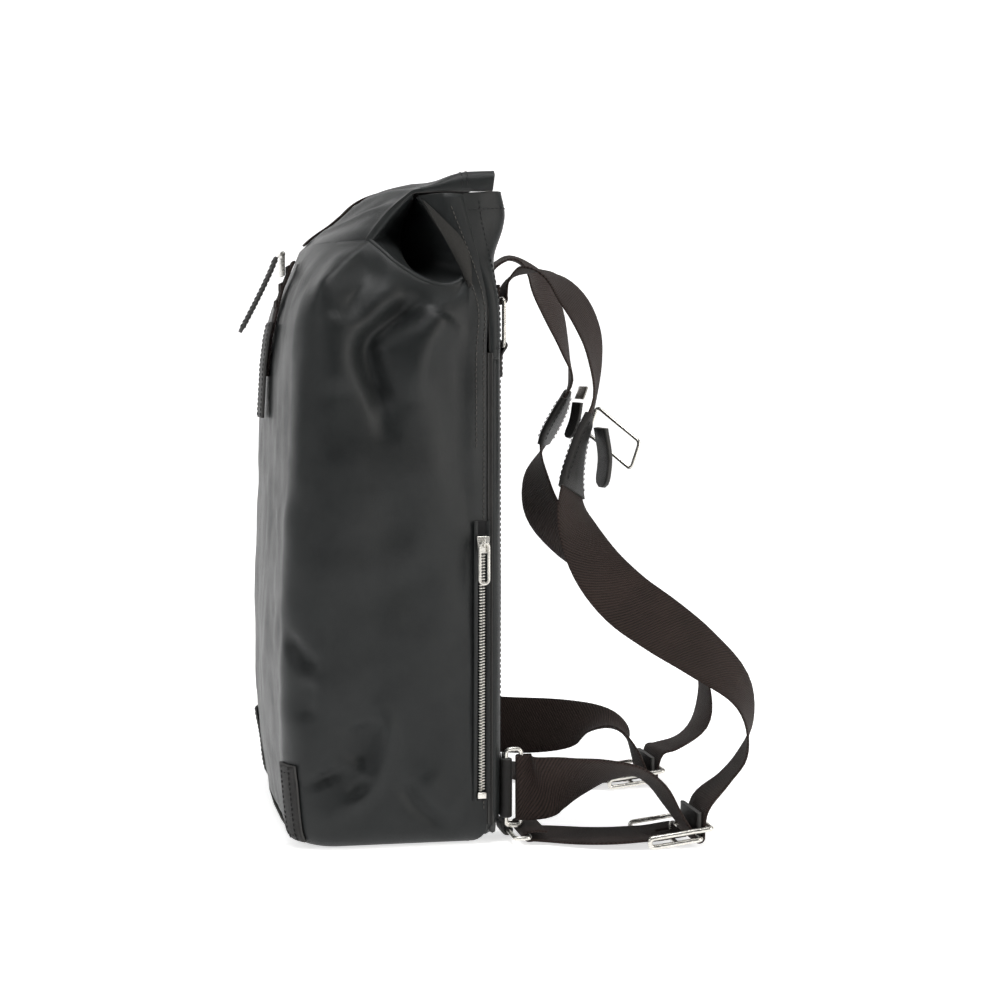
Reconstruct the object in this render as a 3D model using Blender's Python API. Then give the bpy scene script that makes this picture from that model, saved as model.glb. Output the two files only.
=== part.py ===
"""Roll-top leather backpack: a soft leather bag with a padded back, a roll-over mouth closed by a
web strap and hook, a side zip, and two web shoulder straps joined by a chest clasp.

Metres, +Z up.  The wearer's back is towards +Y and the front of the bag towards -Y, so the wearer's
right hand side is +X.  The origin is the middle of the base's underside.
"""
import math

import bmesh
import bpy
import numpy as np
from mathutils import Matrix, Vector

for old in list(bpy.data.objects):
    bpy.data.objects.remove(old)
bpy.context.scene.unit_settings.system = 'METRIC'

# ---------------------------------------------------------------- driving dimensions
WIDTH = 0.276            # across the back panel, between the two side seams
DEPTH = 0.145            # from the front leather to the back leather, at the base
BODY_HEIGHT = 0.385      # floor to the top edge of the sides
FRONT_RISE = 0.023       # how much higher the front leather reaches, to the fold of the mouth
FRONT_LEAN = 0.026       # how far the front draws back by then
LEAN_LENGTH = 0.158      # and the height over which it does
BACK_Y = 0.0775          # outer face of the back leather, at its side edges
SIDE_BULGE = 0.018       # how far each side swells past its seam at half height
SWELL_BY = 0.60          # share of the side's run by which it does
BACK_CROWN = 0.012       # how far the padded back stands out at its middle
LEATHER = 0.0025         # bag leather
CORNER = 0.030           # front corner radius, seen from above
GAP = 0.0003             # clearance between two sewn or resting pieces

MOUTH_REACH = 0.125      # front edge of the mouth to its rim, level
MOUTH_RISE = 0.0445      # the same, upright
MOUTH_SWELL = 0.026      # how far the rolled front stands above a straight line
LIP = 0.004              # thickness of the rolled front, two layers of leather
BACK_LIP = 0.0032        # thickness of the folded back lip
BACK_LIP_REACH = 0.056   # how far that lip's upper leaf runs forward

BASE_TOP = 0.0045        # top of the base leather
FOOT_INSET = 0.006       # the base turns up inside the wrapped leather's edge
BOARD = 0.002            # stiffener in the base
PAD = 0.005              # foam in the back
LINING = 0.001           # cotton lining
LINING_PLAY = 0.0012     # slack between the lining and the leather
LINING_DROP = 0.010      # how far the lining ends below the leather's top edge
LINING_SHORT = 0.003     # and how far it ends short of the leather's rear edge
SLEEVE_SPACE = 0.024     # room for a laptop, between the pad and the sleeve
SLEEVE_HEIGHT = BODY_HEIGHT - 0.130
YOKE_BOTTOM = BODY_HEIGHT - 0.052      # seam between the lower back leather and the yoke

ZIP_TOP = 0.213
ZIP_LENGTH = 0.176
ZIP_WIDTH = 0.0042       # row of closed teeth
ZIP_TAPE = 0.0110
SLIDER_LENGTH = 0.0115
PULL_LENGTH = 0.030
PULL_PIVOT = 0.0010      # below the pull's top

WEB_WIDTH = 0.045        # shoulder web
WEB = 0.0018             # its thickness
WEB_PLAY = 0.0025        # room beside a web in its ring or buckle
NARROW_WEB = 0.025       # closing strap
RING_WIRE = 0.0030       # diameter of the metal rings' wire
FRAME_WIRE = 0.0034      # diameter of the buckles' wire

# ---------------------------------------------------------------- helpers: materials and meshes
FINISH = {               # colour, roughness, metallic
    "leather": ((0.018, 0.020, 0.021), 0.48, 0.0),
    "trim": ((0.020, 0.020, 0.021), 0.55, 0.0),
    "web": ((0.020, 0.017, 0.016), 0.85, 0.0),
    "metal": ((0.62, 0.60, 0.56), 0.25, 1.0),
    "cotton": ((0.10, 0.10, 0.10), 0.90, 0.0),
    "foam": ((0.25, 0.25, 0.25), 0.95, 0.0),
    "tape": ((0.012, 0.012, 0.013), 0.80, 0.0),
}


def material(name, finish):
    colour, roughness, metallic = FINISH[finish]
    made = bpy.data.materials.new(name)
    made.use_nodes = True
    shader = made.node_tree.nodes["Principled BSDF"]
    shader.inputs["Base Color"].default_value = (*colour, 1.0)
    shader.inputs["Roughness"].default_value = roughness
    shader.inputs["Metallic"].default_value = metallic
    return made


def add(name, points, faces, finish, smooth=True):
    mesh = bpy.data.meshes.new(name)
    mesh.from_pydata([tuple(p) for p in points], [], faces)
    work = bmesh.new()
    work.from_mesh(mesh)
    bmesh.ops.recalc_face_normals(work, faces=work.faces)
    work.to_mesh(mesh)
    work.free()
    if smooth:
        mesh.shade_smooth()
        mesh.set_sharp_from_angle(angle=math.radians(40))
    body = bpy.data.objects.new(name, mesh)
    body.data.materials.append(material(name + "_finish", finish))
    bpy.context.scene.collection.objects.link(body)
    return body


def turn_about(body, point):
    """Put a moving piece's origin on its joint's axis, with its shape left where it is."""
    body.data.transform(Matrix.Translation(-Vector(point)))
    body.location = point


def unit(v):
    v = np.asarray(v, float)
    return v / np.linalg.norm(v)


def smoothstep(t):
    t = min(max(t, 0.0), 1.0)
    return t * t * (3 - 2 * t)


def slab(name, top, bottom, finish, smooth=True):
    """Closed body between two equal grids of points, rows by columns."""
    rows, cols = len(top), len(top[0])
    points = [p for grid in (top, bottom) for row in grid for p in row]
    lower = rows * cols

    def at(r, c):
        return r * cols + c

    faces = []
    for r in range(rows - 1):
        for c in range(cols - 1):
            faces.append((at(r, c), at(r, c + 1), at(r + 1, c + 1), at(r + 1, c)))
            faces.append([k + lower for k in (at(r, c), at(r + 1, c), at(r + 1, c + 1), at(r, c + 1))])
    edge = [at(0, c) for c in range(cols)] + [at(r, cols - 1) for r in range(1, rows)]
    edge += [at(rows - 1, c) for c in range(cols - 2, -1, -1)] + [at(r, 0) for r in range(rows - 2, 0, -1)]
    for a, b in zip(edge, edge[1:] + edge[:1]):
        faces.append((a, a + lower, b + lower, b))
    return add(name, points, faces, finish, smooth)


def box(name, low, high, finish, bevel=0.0, segments=2):
    low, high = np.asarray(low, float), np.asarray(high, float)
    corners = [[high[i] if (k >> i) & 1 else low[i] for i in range(3)] for k in range(8)]
    faces = [(0, 2, 3, 1), (4, 5, 7, 6), (0, 1, 5, 4), (2, 6, 7, 3), (0, 4, 6, 2), (1, 3, 7, 5)]
    body = add(name, corners, faces, finish, smooth=False)
    if bevel:
        rounding = body.modifiers.new("rounded", 'BEVEL')
        rounding.width = bevel
        rounding.segments = segments
    return body


def spline(stations, steps):
    """Smooth curve through the stations: x, y, z and any further values, steps points per span.
    The knots follow the stations' spacing, so close stations don't make the curve overshoot."""
    p = np.asarray(stations, float)
    p = np.vstack([2 * p[0] - p[1], p, 2 * p[-1] - p[-2]])
    dims = min(3, p.shape[1])
    knots = np.concatenate([[0], np.cumsum(np.linalg.norm(np.diff(p[:, :dims], axis=0), axis=1) ** 0.5)])
    out = []
    for i in range(1, len(p) - 2):
        a, b, c, d = knots[i - 1:i + 3]
        for k in range(steps):
            t = b + (c - b) * k / steps
            first = (b - t) / (b - a) * p[i - 1] + (t - a) / (b - a) * p[i]
            second = (c - t) / (c - b) * p[i] + (t - b) / (c - b) * p[i + 1]
            third = (d - t) / (d - c) * p[i + 1] + (t - c) / (d - c) * p[i + 2]
            left = (c - t) / (c - a) * first + (t - a) / (c - a) * second
            right = (d - t) / (d - b) * second + (t - b) / (d - b) * third
            out.append((c - t) / (c - b) * left + (t - b) / (c - b) * right)
    return np.array(out + [p[-2]])


def directed(stations, reference=(1.0, 0, 0)):
    """Stations of (x, y, z, turn) with the turn made a width direction: x, y, z and its three parts.
    The turn, in degrees, is about the web's own run, 0 where its width lies along the reference."""
    stations = np.asarray(stations, float)
    out = []
    for i, (x, y, z, turn) in enumerate(stations):
        along = unit(stations[min(i + 1, len(stations) - 1), :3] - stations[max(i - 1, 0), :3])
        side = unit(np.array(reference, float) - along * np.dot(along, reference))
        a = math.radians(turn)
        out.append((x, y, z, *(side * math.cos(a) + np.cross(along, side) * math.sin(a))))
    return out


def sections(route):
    """Centre, width direction and thickness direction at each point of a flat web's route."""
    route = np.asarray(route, float)
    out = []
    for i, row in enumerate(route):
        along = unit(route[min(i + 1, len(route) - 1), :3] - route[max(i - 1, 0), :3])
        across = unit(row[3:] - along * np.dot(along, row[3:]))
        out.append((row[:3], across, np.cross(along, across)))
    return out


def band(a, b, below, flip):
    """Two triangles between a web's edges a and b on one section and the same edges `below` it. Both
    faces of a web are split along the same diagonal, so that a twisted web keeps its thickness."""
    if flip:
        return [(a, b, a + below), (b, b + below, a + below)]
    return [(a, b, b + below), (a, b + below, a + below)]


def web(name, route, width, thick, finish="web"):
    """Flat web along a route of points with their width directions."""
    points = []
    for centre, across, normal in sections(route):
        for s, t in ((-1, -1), (1, -1), (1, 1), (-1, 1)):
            points.append(centre + across * s * width / 2 + normal * t * thick / 2)
    faces = [(3, 2, 1, 0)]
    for i in range(len(route) - 1):
        for k in range(4):
            faces += band(4 * i + k, 4 * i + (k + 1) % 4, 4, k > 1)
    last = 4 * (len(route) - 1)
    faces.append((last, last + 1, last + 2, last + 3))
    return add(name, points, faces, finish)


def flat(x, line):
    """Route of a web whose width lies along X: one x and a line of (y, z)."""
    return [(x, y, z, 1.0, 0.0, 0.0) for y, z in line]


def sleeve(name, route, width, thick, wall, finish="trim"):
    """Flat tube that a web slides through: it follows the web's own route."""
    rings = []
    for grow in (0.0, wall):
        for centre, across, normal in sections(route):
            for s, t in ((-1, -1), (1, -1), (1, 1), (-1, 1)):
                rings.append(centre + across * s * (width / 2 + grow) + normal * t * (thick / 2 + grow))
    count, faces = len(route), []
    for base in (0, 4 * count):
        for i in range(count - 1):
            for k in range(4):
                faces += band(base + 4 * i + k, base + 4 * i + (k + 1) % 4, 4, k > 1)
    for row in (0, 4 * (count - 1)):
        for k in range(4):
            a, b = row + k, row + (k + 1) % 4
            faces.append((a, b, b + 4 * count, a + 4 * count))
    return add(name, rings, faces, finish)


def wire(name, corners, radius, finish="metal", bend=0.004, sides=8, link=True, steps=4):
    """Round wire bent through the corners, closed into a link or with two flat ends."""
    corners = [np.asarray(c, float) for c in corners]
    count = len(corners)
    path = []
    for i, c in enumerate(corners):
        if not link and i in (0, count - 1):
            path.append(c)
            continue
        before, after = corners[i - 1], corners[(i + 1) % count]
        first, second = c + unit(before - c) * bend, c + unit(after - c) * bend
        for t in np.linspace(0, 1, steps):
            path.append((1 - t) ** 2 * first + 2 * t * (1 - t) * c + t ** 2 * second)
    n = len(path)
    runs = []
    for i in range(n):
        before = path[i - 1] if link or i else path[i]
        after = path[(i + 1) % n] if link or i < n - 1 else path[i]
        runs.append(unit(after - before))
    normal = unit(np.cross(corners[1] - corners[0], corners[2] - corners[1]))
    normals = []
    for run in runs:
        normal = unit(normal - run * np.dot(normal, run))
        normals.append(normal)
    twist = 0.0
    if link:                       # share out what the frame has turned when it comes round again
        closed = unit(normal - runs[0] * np.dot(normal, runs[0]))
        side = np.cross(runs[0], normals[0])
        twist = -math.atan2(np.dot(closed, side), np.dot(closed, normals[0]))
    points, faces = [], []
    for i, (c, run, up) in enumerate(zip(path, runs, normals)):
        across = np.cross(run, up)
        for k in range(sides):
            a = 2 * math.pi * (k + 0.5) / sides + twist * i / n
            points.append(c + radius * (math.cos(a) * up + math.sin(a) * across))
    for i in range(n if link else n - 1):
        j = (i + 1) % n
        for k in range(sides):
            m = (k + 1) % sides
            faces.append((i * sides + k, i * sides + m, j * sides + m, j * sides + k))
    if not link:
        faces.append(tuple(range(sides - 1, -1, -1)))
        faces.append(tuple((n - 1) * sides + k for k in range(sides)))
    return add(name, points, faces, finish)


def arc(centre, radius, start, stop, steps):
    """Points round a bar, in the plane across it: two coordinates each, angles in degrees."""
    angles = np.radians(np.linspace(start, stop, steps))
    return [(centre[0] + radius * math.cos(a), centre[1] + radius * math.sin(a)) for a in angles]


# ---------------------------------------------------------------- the bag's form
def seam_x():
    return WIDTH / 2


def bulge(z):
    """0 at the base, 1 at half height, a little less at the mouth."""
    return math.sin(math.pi * min(max(z / BODY_HEIGHT, 0), 1) * 0.80)


def swell(share):
    """The side lies flat at its rear seam, 0, and has its full bulge from SWELL_BY forward."""
    return math.sin(math.pi / 2 * min(max(share, 0.0) / SWELL_BY, 1.0))


def side_x(z, inset=0.0, share=1.0):
    return seam_x() + SIDE_BULGE * bulge(z) * swell(share) - inset


FRONT_HEIGHT = BODY_HEIGHT + FRONT_RISE


def front_y(z):
    """The front leather hangs a little forward low down and draws back towards the mouth."""
    sag = 0.003 * math.sin(math.pi * min(z / 0.26, 1))
    lean = FRONT_LEAN * max((z - FRONT_HEIGHT) / LEAN_LENGTH + 1, 0) ** 2.4
    return BACK_Y - DEPTH - sag + lean


def back_y(x, z, outward=0.0):
    """Outer face of the padded back: crowned across its width and along its height."""
    share = min(abs(x) / seam_x(), 1.0)
    crown = BACK_CROWN * (1 - share ** 2) * (0.75 + 0.25 * math.sin(math.pi * min(z / BODY_HEIGHT, 1)))
    tuck = 0.003 * smoothstep((z - YOKE_BOTTOM) / (BODY_HEIGHT - YOKE_BOTTOM))
    return BACK_Y + crown - tuck + outward


SHELL_BACK = BACK_Y - LEATHER - 0.004     # where the wrapped leather stops short of the back panel
CORNER_STEPS = (0, 18, 36, 54, 72, 90)
SIDE_SHARES = (0, 0.10, 0.22, 0.36, 0.55, 0.78)
LEVELS = 16


def wrap_row(inset, back, low, drop, share):
    """One level of the wrapped leather, from its right rear edge round the front to the left one.
    The level is a share of the height from `low` to the top edge, which climbs round the corners."""
    right = []
    for t in SIDE_SHARES:
        right.append((0.0, t, None))
    for a in CORNER_STEPS:
        right.append((a / 90, 1.0, a))
    right += [(1.0, 1.0, "half"), (1.0, 1.0, "middle")]
    row = []
    for climb, t, place_on in right:
        z = low + (BODY_HEIGHT + FRONT_RISE * smoothstep(climb) - drop - low) * share
        half, front, r = side_x(z, inset), front_y(z) + inset, CORNER - inset
        if place_on is None:
            row.append((side_x(z, inset, t), back - (back - front - r) * t, z))
        elif place_on == "half":
            row.append(((half - r) / 2, front - 0.003, z))
        elif place_on == "middle":
            row.append((0.0, front - 0.004, z))
        else:
            a = math.radians(place_on)
            row.append((half - r + r * math.cos(a), front + r - r * math.sin(a), z))
    return row + [(-x, y, z) for x, y, z in reversed(row[:-1])]


def wrap_grid(inset, back, low, drop=0.0):
    return [wrap_row(inset, back, low, drop, k / (LEVELS - 1)) for k in range(LEVELS)]


def make_body():
    outside, inside = (wrap_grid(inset, SHELL_BACK, BASE_TOP) for inset in (0.0, LEATHER))
    slab("main_shell", outside, inside, "leather")
    near, low = LEATHER + LINING_PLAY, BASE_TOP + BOARD + GAP
    back = SHELL_BACK - LINING_SHORT
    outside, inside = (wrap_grid(inset, back, low, LINING_DROP) for inset in (near, near + LINING))
    slab("lining", outside, inside, "cotton")


def plan_solid(name, outline, low, high, finish):
    count = len(outline)
    points = [(x, y, low) for x, y in outline] + [(x, y, high) for x, y in outline]
    faces = [tuple(range(count - 1, -1, -1)), tuple(range(count, 2 * count))]
    faces += [(k, (k + 1) % count, count + (k + 1) % count, count + k) for k in range(count)]
    return add(name, points, faces, finish, smooth=False)


def base_outline(inset, back):
    return [(x, y) for x, y, z in wrap_row(inset, back, 0.0, 0.0, 0.0)]


def make_base():
    plan_solid("base_panel", base_outline(FOOT_INSET, BACK_Y - FOOT_INSET), 0.0, BASE_TOP - GAP, "leather")
    board = base_outline(LEATHER + 0.003, SHELL_BACK - 0.006)
    plan_solid("base_board", board, BASE_TOP, BASE_TOP + BOARD, "foam")


def back_slab(name, low, high, half, outside, thick, finish, rows=7, cols=9):
    """A panel that follows the back: its outer face is `outside` from the back leather's face."""
    zs = [low + (high - low) * k / (rows - 1) for k in range(rows)]
    xs = [half * (2 * k / (cols - 1) - 1) for k in range(cols)]
    outer = [[(x, back_y(x, z, outside), z) for x in xs] for z in zs]
    inner = [[(x, back_y(x, z, outside - thick), z) for x in xs] for z in zs]
    return slab(name, outer, inner, finish)


BACK_TOP = BODY_HEIGHT + 0.012            # upper edge of the yoke


def make_back():
    half = seam_x() - 0.0002
    back_slab("back_panel", BASE_TOP, YOKE_BOTTOM - GAP, half, 0.0, LEATHER, "leather")
    back_slab("back_yoke", YOKE_BOTTOM, BACK_TOP, half, 0.0, LEATHER, "leather", rows=5)
    pad_half = side_x(0.0, LEATHER + LINING_PLAY + LINING + 0.003)
    low = BASE_TOP + BOARD + GAP
    back_slab("back_pad", low, BODY_HEIGHT - 0.015, pad_half, -LEATHER - GAP, PAD, "foam")
    sleeve = -(LEATHER + 2 * GAP + PAD + SLEEVE_SPACE)
    back_slab("laptop_sleeve", low, low + SLEEVE_HEIGHT, pad_half - 0.002, sleeve, 0.003, "cotton")


STRIP_LOW, STRIP_HIGH = 0.014, YOKE_BOTTOM + 0.004


def make_edge_strips():
    """Turned leather edge between the wrapped leather and the back panel, down each side seam."""
    for side, name in ((1, "edge_strip_right"), (-1, "edge_strip_left")):
        rows = 9
        outer, inner = [], []
        for k in range(rows):
            z = STRIP_LOW + (STRIP_HIGH - STRIP_LOW) * k / (rows - 1)
            y0, y1 = SHELL_BACK + GAP, BACK_Y - LEATHER - 2 * GAP - 0.0002
            if z > YOKE_BOTTOM - 0.02:
                y1 -= 0.0002
            x = side_x(z, share=0.0) - 0.0005
            outer.append([(side * x, y0, z), (side * x, y1, z)])
            inner.append([(side * (x - LEATHER), y0, z), (side * (x - LEATHER), y1, z)])
        slab(name, outer, inner, "trim")


# ---------------------------------------------------------------- mouth
HINGE = (front_y(FRONT_HEIGHT) + LEATHER / 2, FRONT_HEIGHT + LIP / 2 + 0.0015)   # (y, z) of the fold
MOUTH_HALF = WIDTH / 2 + 0.006


def mouth_curve(t):
    """Middle of the front lip, from its fold (t = 0) to the rim (t = 1), as (y, z)."""
    swell = MOUTH_SWELL * math.sin(math.pi * t)
    return HINGE[0] + MOUTH_REACH * t - swell * 0.35, HINGE[1] + MOUTH_RISE * t + swell * 0.94


def offset_curve(curve, t, away):
    a, b = curve(max(t - 0.01, 0.0)), curve(min(t + 0.01, 1.0))
    run = unit([b[0] - a[0], b[1] - a[1]])
    y, z = curve(t)
    return y - run[1] * away, z + run[0] * away


def make_front_lip():
    steps, cols = 13, 5
    ts = [k / (steps - 1) for k in range(steps)]
    xs = [MOUTH_HALF * (2 * k / (cols - 1) - 1) for k in range(cols)]
    top = [[(x, *offset_curve(mouth_curve, t, LIP / 2)) for x in xs] for t in ts]
    bottom = [[(x, *offset_curve(mouth_curve, t, -LIP / 2)) for x in xs] for t in ts]
    turn_about(slab("mouth_front_lip", top, bottom, "leather"), (0.0, *HINGE))


def back_lip_outline():
    """Section of the folded back lip as a line of (y, z): upper leaf, round end and hanging tongue."""
    under = -(LIP / 2 + BACK_LIP / 2 + 2 * GAP)
    first = 1 - BACK_LIP_REACH / MOUTH_REACH
    leaf = [offset_curve(mouth_curve, first + (0.97 - first) * k / 4, under) for k in range(5)]
    top_y, top_z = leaf[-1]
    bottom_z = BACK_TOP + BACK_LIP / 2 + GAP + 0.001
    tongue = [(top_y + 0.0085, top_z - 0.0030), (top_y + 0.0110, top_z - 0.0120),
              (top_y + 0.0095, (top_z + bottom_z) / 2 - 0.004), (top_y + 0.0010, bottom_z)]
    return leaf + tongue


def make_back_lip():
    line = spline([(0.0, y, z) for y, z in back_lip_outline()], 2)[:, 1:]
    top, bottom = [], []
    for i, (y, z) in enumerate(line):
        run = unit(line[min(i + 1, len(line) - 1)] - line[max(i - 1, 0)])
        offs = np.array([-run[1], run[0]]) * BACK_LIP / 2
        for grid, sign in ((top, 1), (bottom, -1)):
            side_on = (y + sign * offs[0], z + sign * offs[1])
            grid.append([(x, *side_on) for x in (-MOUTH_HALF, 0.0, MOUTH_HALF)])
    slab("mouth_back_lip", top, bottom, "leather")


def make_gussets():
    """The tucked side leaves: from the top edge of each side, inwards under the front lip."""
    for side, name in ((1, "gusset_right"), (-1, "gusset_left")):
        top, bottom = [], []
        rows = 6
        for k in range(rows):
            t = k / (rows - 1)
            x = side_x(BODY_HEIGHT) - 0.0075 - 0.060 * t
            z = BODY_HEIGHT + 0.004 + 0.038 * math.sin(t * math.pi / 2)
            y0, y1 = HINGE[0] + 0.026 + 0.016 * t, BACK_Y - 0.022 - 0.020 * t
            ys = [y0 + (y1 - y0) * j / 4 for j in range(5)]
            dip = [0.004 * math.sin(math.pi * j / 4) for j in range(5)]
            top.append([(side * x, y, z - d + 0.00125) for y, d in zip(ys, dip)])
            bottom.append([(side * x, y, z - d - 0.00125) for y, d in zip(ys, dip)])
        slab(name, top, bottom, "leather")


# ---------------------------------------------------------------- closing strap
STRAP_LIFT = LIP / 2 + GAP + WEB / 2 + 0.0003     # from the lip's middle to the strap's middle
HOOK_LONG = 0.0150
HOOK_THICK = 0.0036


def make_closing_strap():
    """Web sewn along the top of the mouth, down to the fold, where the hook hangs."""
    run = [offset_curve(mouth_curve, 0.045 + 0.935 * k / 12, STRAP_LIFT) for k in range(13)]
    turn_about(web("closing_strap", flat(0.0, run), NARROW_WEB, WEB), (0.0, *HINGE))


def front_face(z, lift):
    """Point (y, z) in front of the bag's middle, `lift` off the leather."""
    return front_y(z) - 0.004 - lift, z


LADDER_LIFT = GAP + WEB / 2 + 0.0012
HOOK_BACK_Y = front_face(FRONT_HEIGHT - HOOK_LONG, LADDER_LIFT)[0] - WEB / 2 - 0.0012
HOOK_PIVOT = (HOOK_BACK_Y - HOOK_THICK / 2, FRONT_HEIGHT + 0.0005)     # (y, z), axis along X
TAB = 0.0026
TAB_WIDTH = 0.019
TAB_REACH = (-0.0265, -0.0545)                       # from the hook to the tab's tip, (y, z)


def make_hook():
    """Metal hook that drops behind a rung of the ladder web, with the stiff tab sewn to its face."""
    y, z = HOOK_PIVOT
    half = NARROW_WEB / 2 + 0.0015
    low, high = z - HOOK_LONG, z + 0.0020
    thick = HOOK_THICK / 2
    hook = box("closure_hook", (-half, y - thick, low), (half, y + thick, high), "metal", 0.0008)
    ahead, top = y - thick - TAB / 2 - 3 * GAP, high - 0.0030
    line = [(ahead + TAB_REACH[0] * t ** 1.12, top + TAB_REACH[1] * t) for t in np.linspace(0, 1, 7)]
    tab = web("pull_tab", flat(0.0, line), TAB_WIDTH, TAB, "trim")
    for piece in (hook, tab):
        turn_about(piece, (0.0, y, z))


LADDER_BOTTOM = FRONT_HEIGHT - 0.048            # top edge of the leather patch
PATCH_BOTTOM = FRONT_HEIGHT - 0.117


def make_front():
    high = FRONT_HEIGHT - 0.004
    run = [front_face(LADDER_BOTTOM + (high - LADDER_BOTTOM) * k / 8, LADDER_LIFT) for k in range(9)]
    web("ladder_web", flat(0.0, run), NARROW_WEB, WEB)
    tall = LADDER_BOTTOM - GAP - PATCH_BOTTOM
    patch = [front_face(PATCH_BOTTOM + tall * k / 6, GAP + 0.0024) for k in range(7)]
    web("front_patch", flat(0.0, patch), 0.038, 0.0024, "trim")


def make_corner_patches():
    """Leather guards wrapped round the two front bottom corners."""
    low, high, thick, arm = BASE_TOP, 0.056, 0.0020, 0.007
    for side, name in ((1, "corner_patch_right"), (-1, "corner_patch_left")):
        outer, inner = [], []
        for z in [low + (high - low) * k / 3 for k in range(4)]:
            half, front = side_x(z) + 0.0003, front_y(z) - 0.0003
            turn = [(0, arm)] + [(a, 0) for a in CORNER_STEPS]
            for grid, off in ((outer, GAP + thick), (inner, GAP)):
                row = []
                for a, run in turn:
                    r, angle = CORNER + off, math.radians(a)
                    x = side * (half - CORNER + r * math.cos(angle))
                    row.append((x, front + CORNER + run - r * math.sin(angle), z))
                grid.append(row)
        slab(name, outer, inner, "trim")


# ---------------------------------------------------------------- side zip
ZIP_Y = SHELL_BACK - 0.0060
TAPE_THICK, TEETH_THICK = 0.0009, 0.0016
SLIDER_WIDTH, SLIDER_THICK = 0.0090, 0.0036
PULL_WIDTH, PULL_THICK, PULL_DROP = 0.0080, 0.0016, 0.0030      # drop: slider's top to pull's top
SLOT_WIDTH, SLOT_TOP, SLOT_BOTTOM = 0.0042, 0.0110, 0.0030      # the slot, from the pull's two ends
STOP_LONG, STOP_THICK = 0.0042, 0.0022


def zip_x(z):
    """The tape lies flat on the side at its front edge, where the side stands out furthest."""
    run = SHELL_BACK - front_y(z) - CORNER
    return side_x(z, share=(SHELL_BACK - ZIP_Y + ZIP_TAPE / 2) / run) + GAP


ZIP_BOTTOM = ZIP_TOP - ZIP_LENGTH
# the slider runs clear of the highest teeth on the swelling side, all the way down
ZIP_FACE = max(zip_x(ZIP_TOP - ZIP_LENGTH * k / 20) for k in range(21)) + TAPE_THICK + TEETH_THICK + 2 * GAP


def zip_strip(name, half, off, thick, low, high, finish):
    """A strip that follows the swelling side: half its width, and how far off the leather it lies."""
    outer, inner = [], []
    for k in range(9):
        z = low + (high - low) * k / 8
        for grid, x in ((outer, zip_x(z) + off + thick), (inner, zip_x(z) + off)):
            grid.append([(x, ZIP_Y - half, z), (x, ZIP_Y + half, z)])
    slab(name, outer, inner, finish)


def zip_block(name, x, thick, width, low, high, bevel):
    return box(name, (x, ZIP_Y - width / 2, low), (x + thick, ZIP_Y + width / 2, high), "metal", bevel)


def make_zip():
    zip_strip("zip_tape", ZIP_TAPE / 2, 0.0, TAPE_THICK, ZIP_BOTTOM - 0.006, ZIP_TOP + 0.010, "tape")
    teeth = TAPE_THICK + GAP
    under = ZIP_TOP - SLIDER_LENGTH * 0.4
    zip_strip("zip_teeth", ZIP_WIDTH / 2, teeth, TEETH_THICK, ZIP_BOTTOM, under, "metal")
    high, wide = ZIP_BOTTOM - GAP, ZIP_WIDTH + 0.0018
    zip_block("zip_bottom_stop", zip_x(high) + teeth, STOP_THICK, wide, high - STOP_LONG, high, 0.0005)
    low = ZIP_TOP - SLIDER_LENGTH
    slider = zip_block("zip_slider", ZIP_FACE, SLIDER_THICK, SLIDER_WIDTH, low, ZIP_TOP, 0.0008)
    turn_about(slider, (ZIP_FACE, ZIP_Y, ZIP_TOP))
    x, high = ZIP_FACE + SLIDER_THICK + GAP, ZIP_TOP - PULL_DROP
    low = high - PULL_LENGTH
    pull = zip_block("zip_pull", x, PULL_THICK, PULL_WIDTH, low, high, 0.0006)
    turn_about(pull, (x + PULL_THICK / 2, ZIP_Y, high - PULL_PIVOT))
    deep = PULL_THICK + 0.004
    slot = zip_block("zip_pull_slot", x - 0.002, deep, SLOT_WIDTH, low + SLOT_BOTTOM, high - SLOT_TOP, 0)
    slot.hide_render = True
    slot.display_type = 'WIRE'
    cut = pull.modifiers.new("slot", 'BOOLEAN')
    cut.operation = 'DIFFERENCE'
    cut.object = slot


# ---------------------------------------------------------------- shoulder straps and their metal
RISE = BODY_HEIGHT - 0.385      # a taller bag lifts the upper part of each strap
UPPER_RING_Z = BODY_HEIGHT - 0.0095     # its top bar; the ring hangs RING_TALL below
RING_TALL = 0.033
UPPER_RING_IN = 0.080           # ring's middle, in from the side seam
RING_HALF = WEB_WIDTH / 2 + WEB_PLAY + RING_WIRE / 2
LOWER_RING_IN = 0.006
RING_DEEP = 0.0105
BASE_RING_Z = 0.0062
BASE_RING_IN = 0.012
LOWER_RING_Z = BASE_RING_Z + RING_HALF + 0.0048         # it clears the base ring below it
TAB_LEATHER = 0.0022


def lifted(z):
    return z + RISE * smoothstep((z - 0.06) / 0.25)


def place(side, inset):
    return side * (seam_x() - inset)


def back_near(side, inset, half, z):
    """The furthest point of the crowned back across a piece sewn to it."""
    x = place(side, inset)
    return max(back_y(x - half, z), back_y(x + half, z), back_y(x, z))


def upper_ring_y(side):
    return back_near(side, UPPER_RING_IN, RING_HALF, UPPER_RING_Z - RING_TALL) + 0.0045


def lower_ring_y(side):
    return back_near(side, LOWER_RING_IN, 0.0, LOWER_RING_Z) + 0.0052


def base_ring_y(side):
    return back_near(side, BASE_RING_IN, RING_HALF, BASE_RING_Z) + 0.0042


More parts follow.
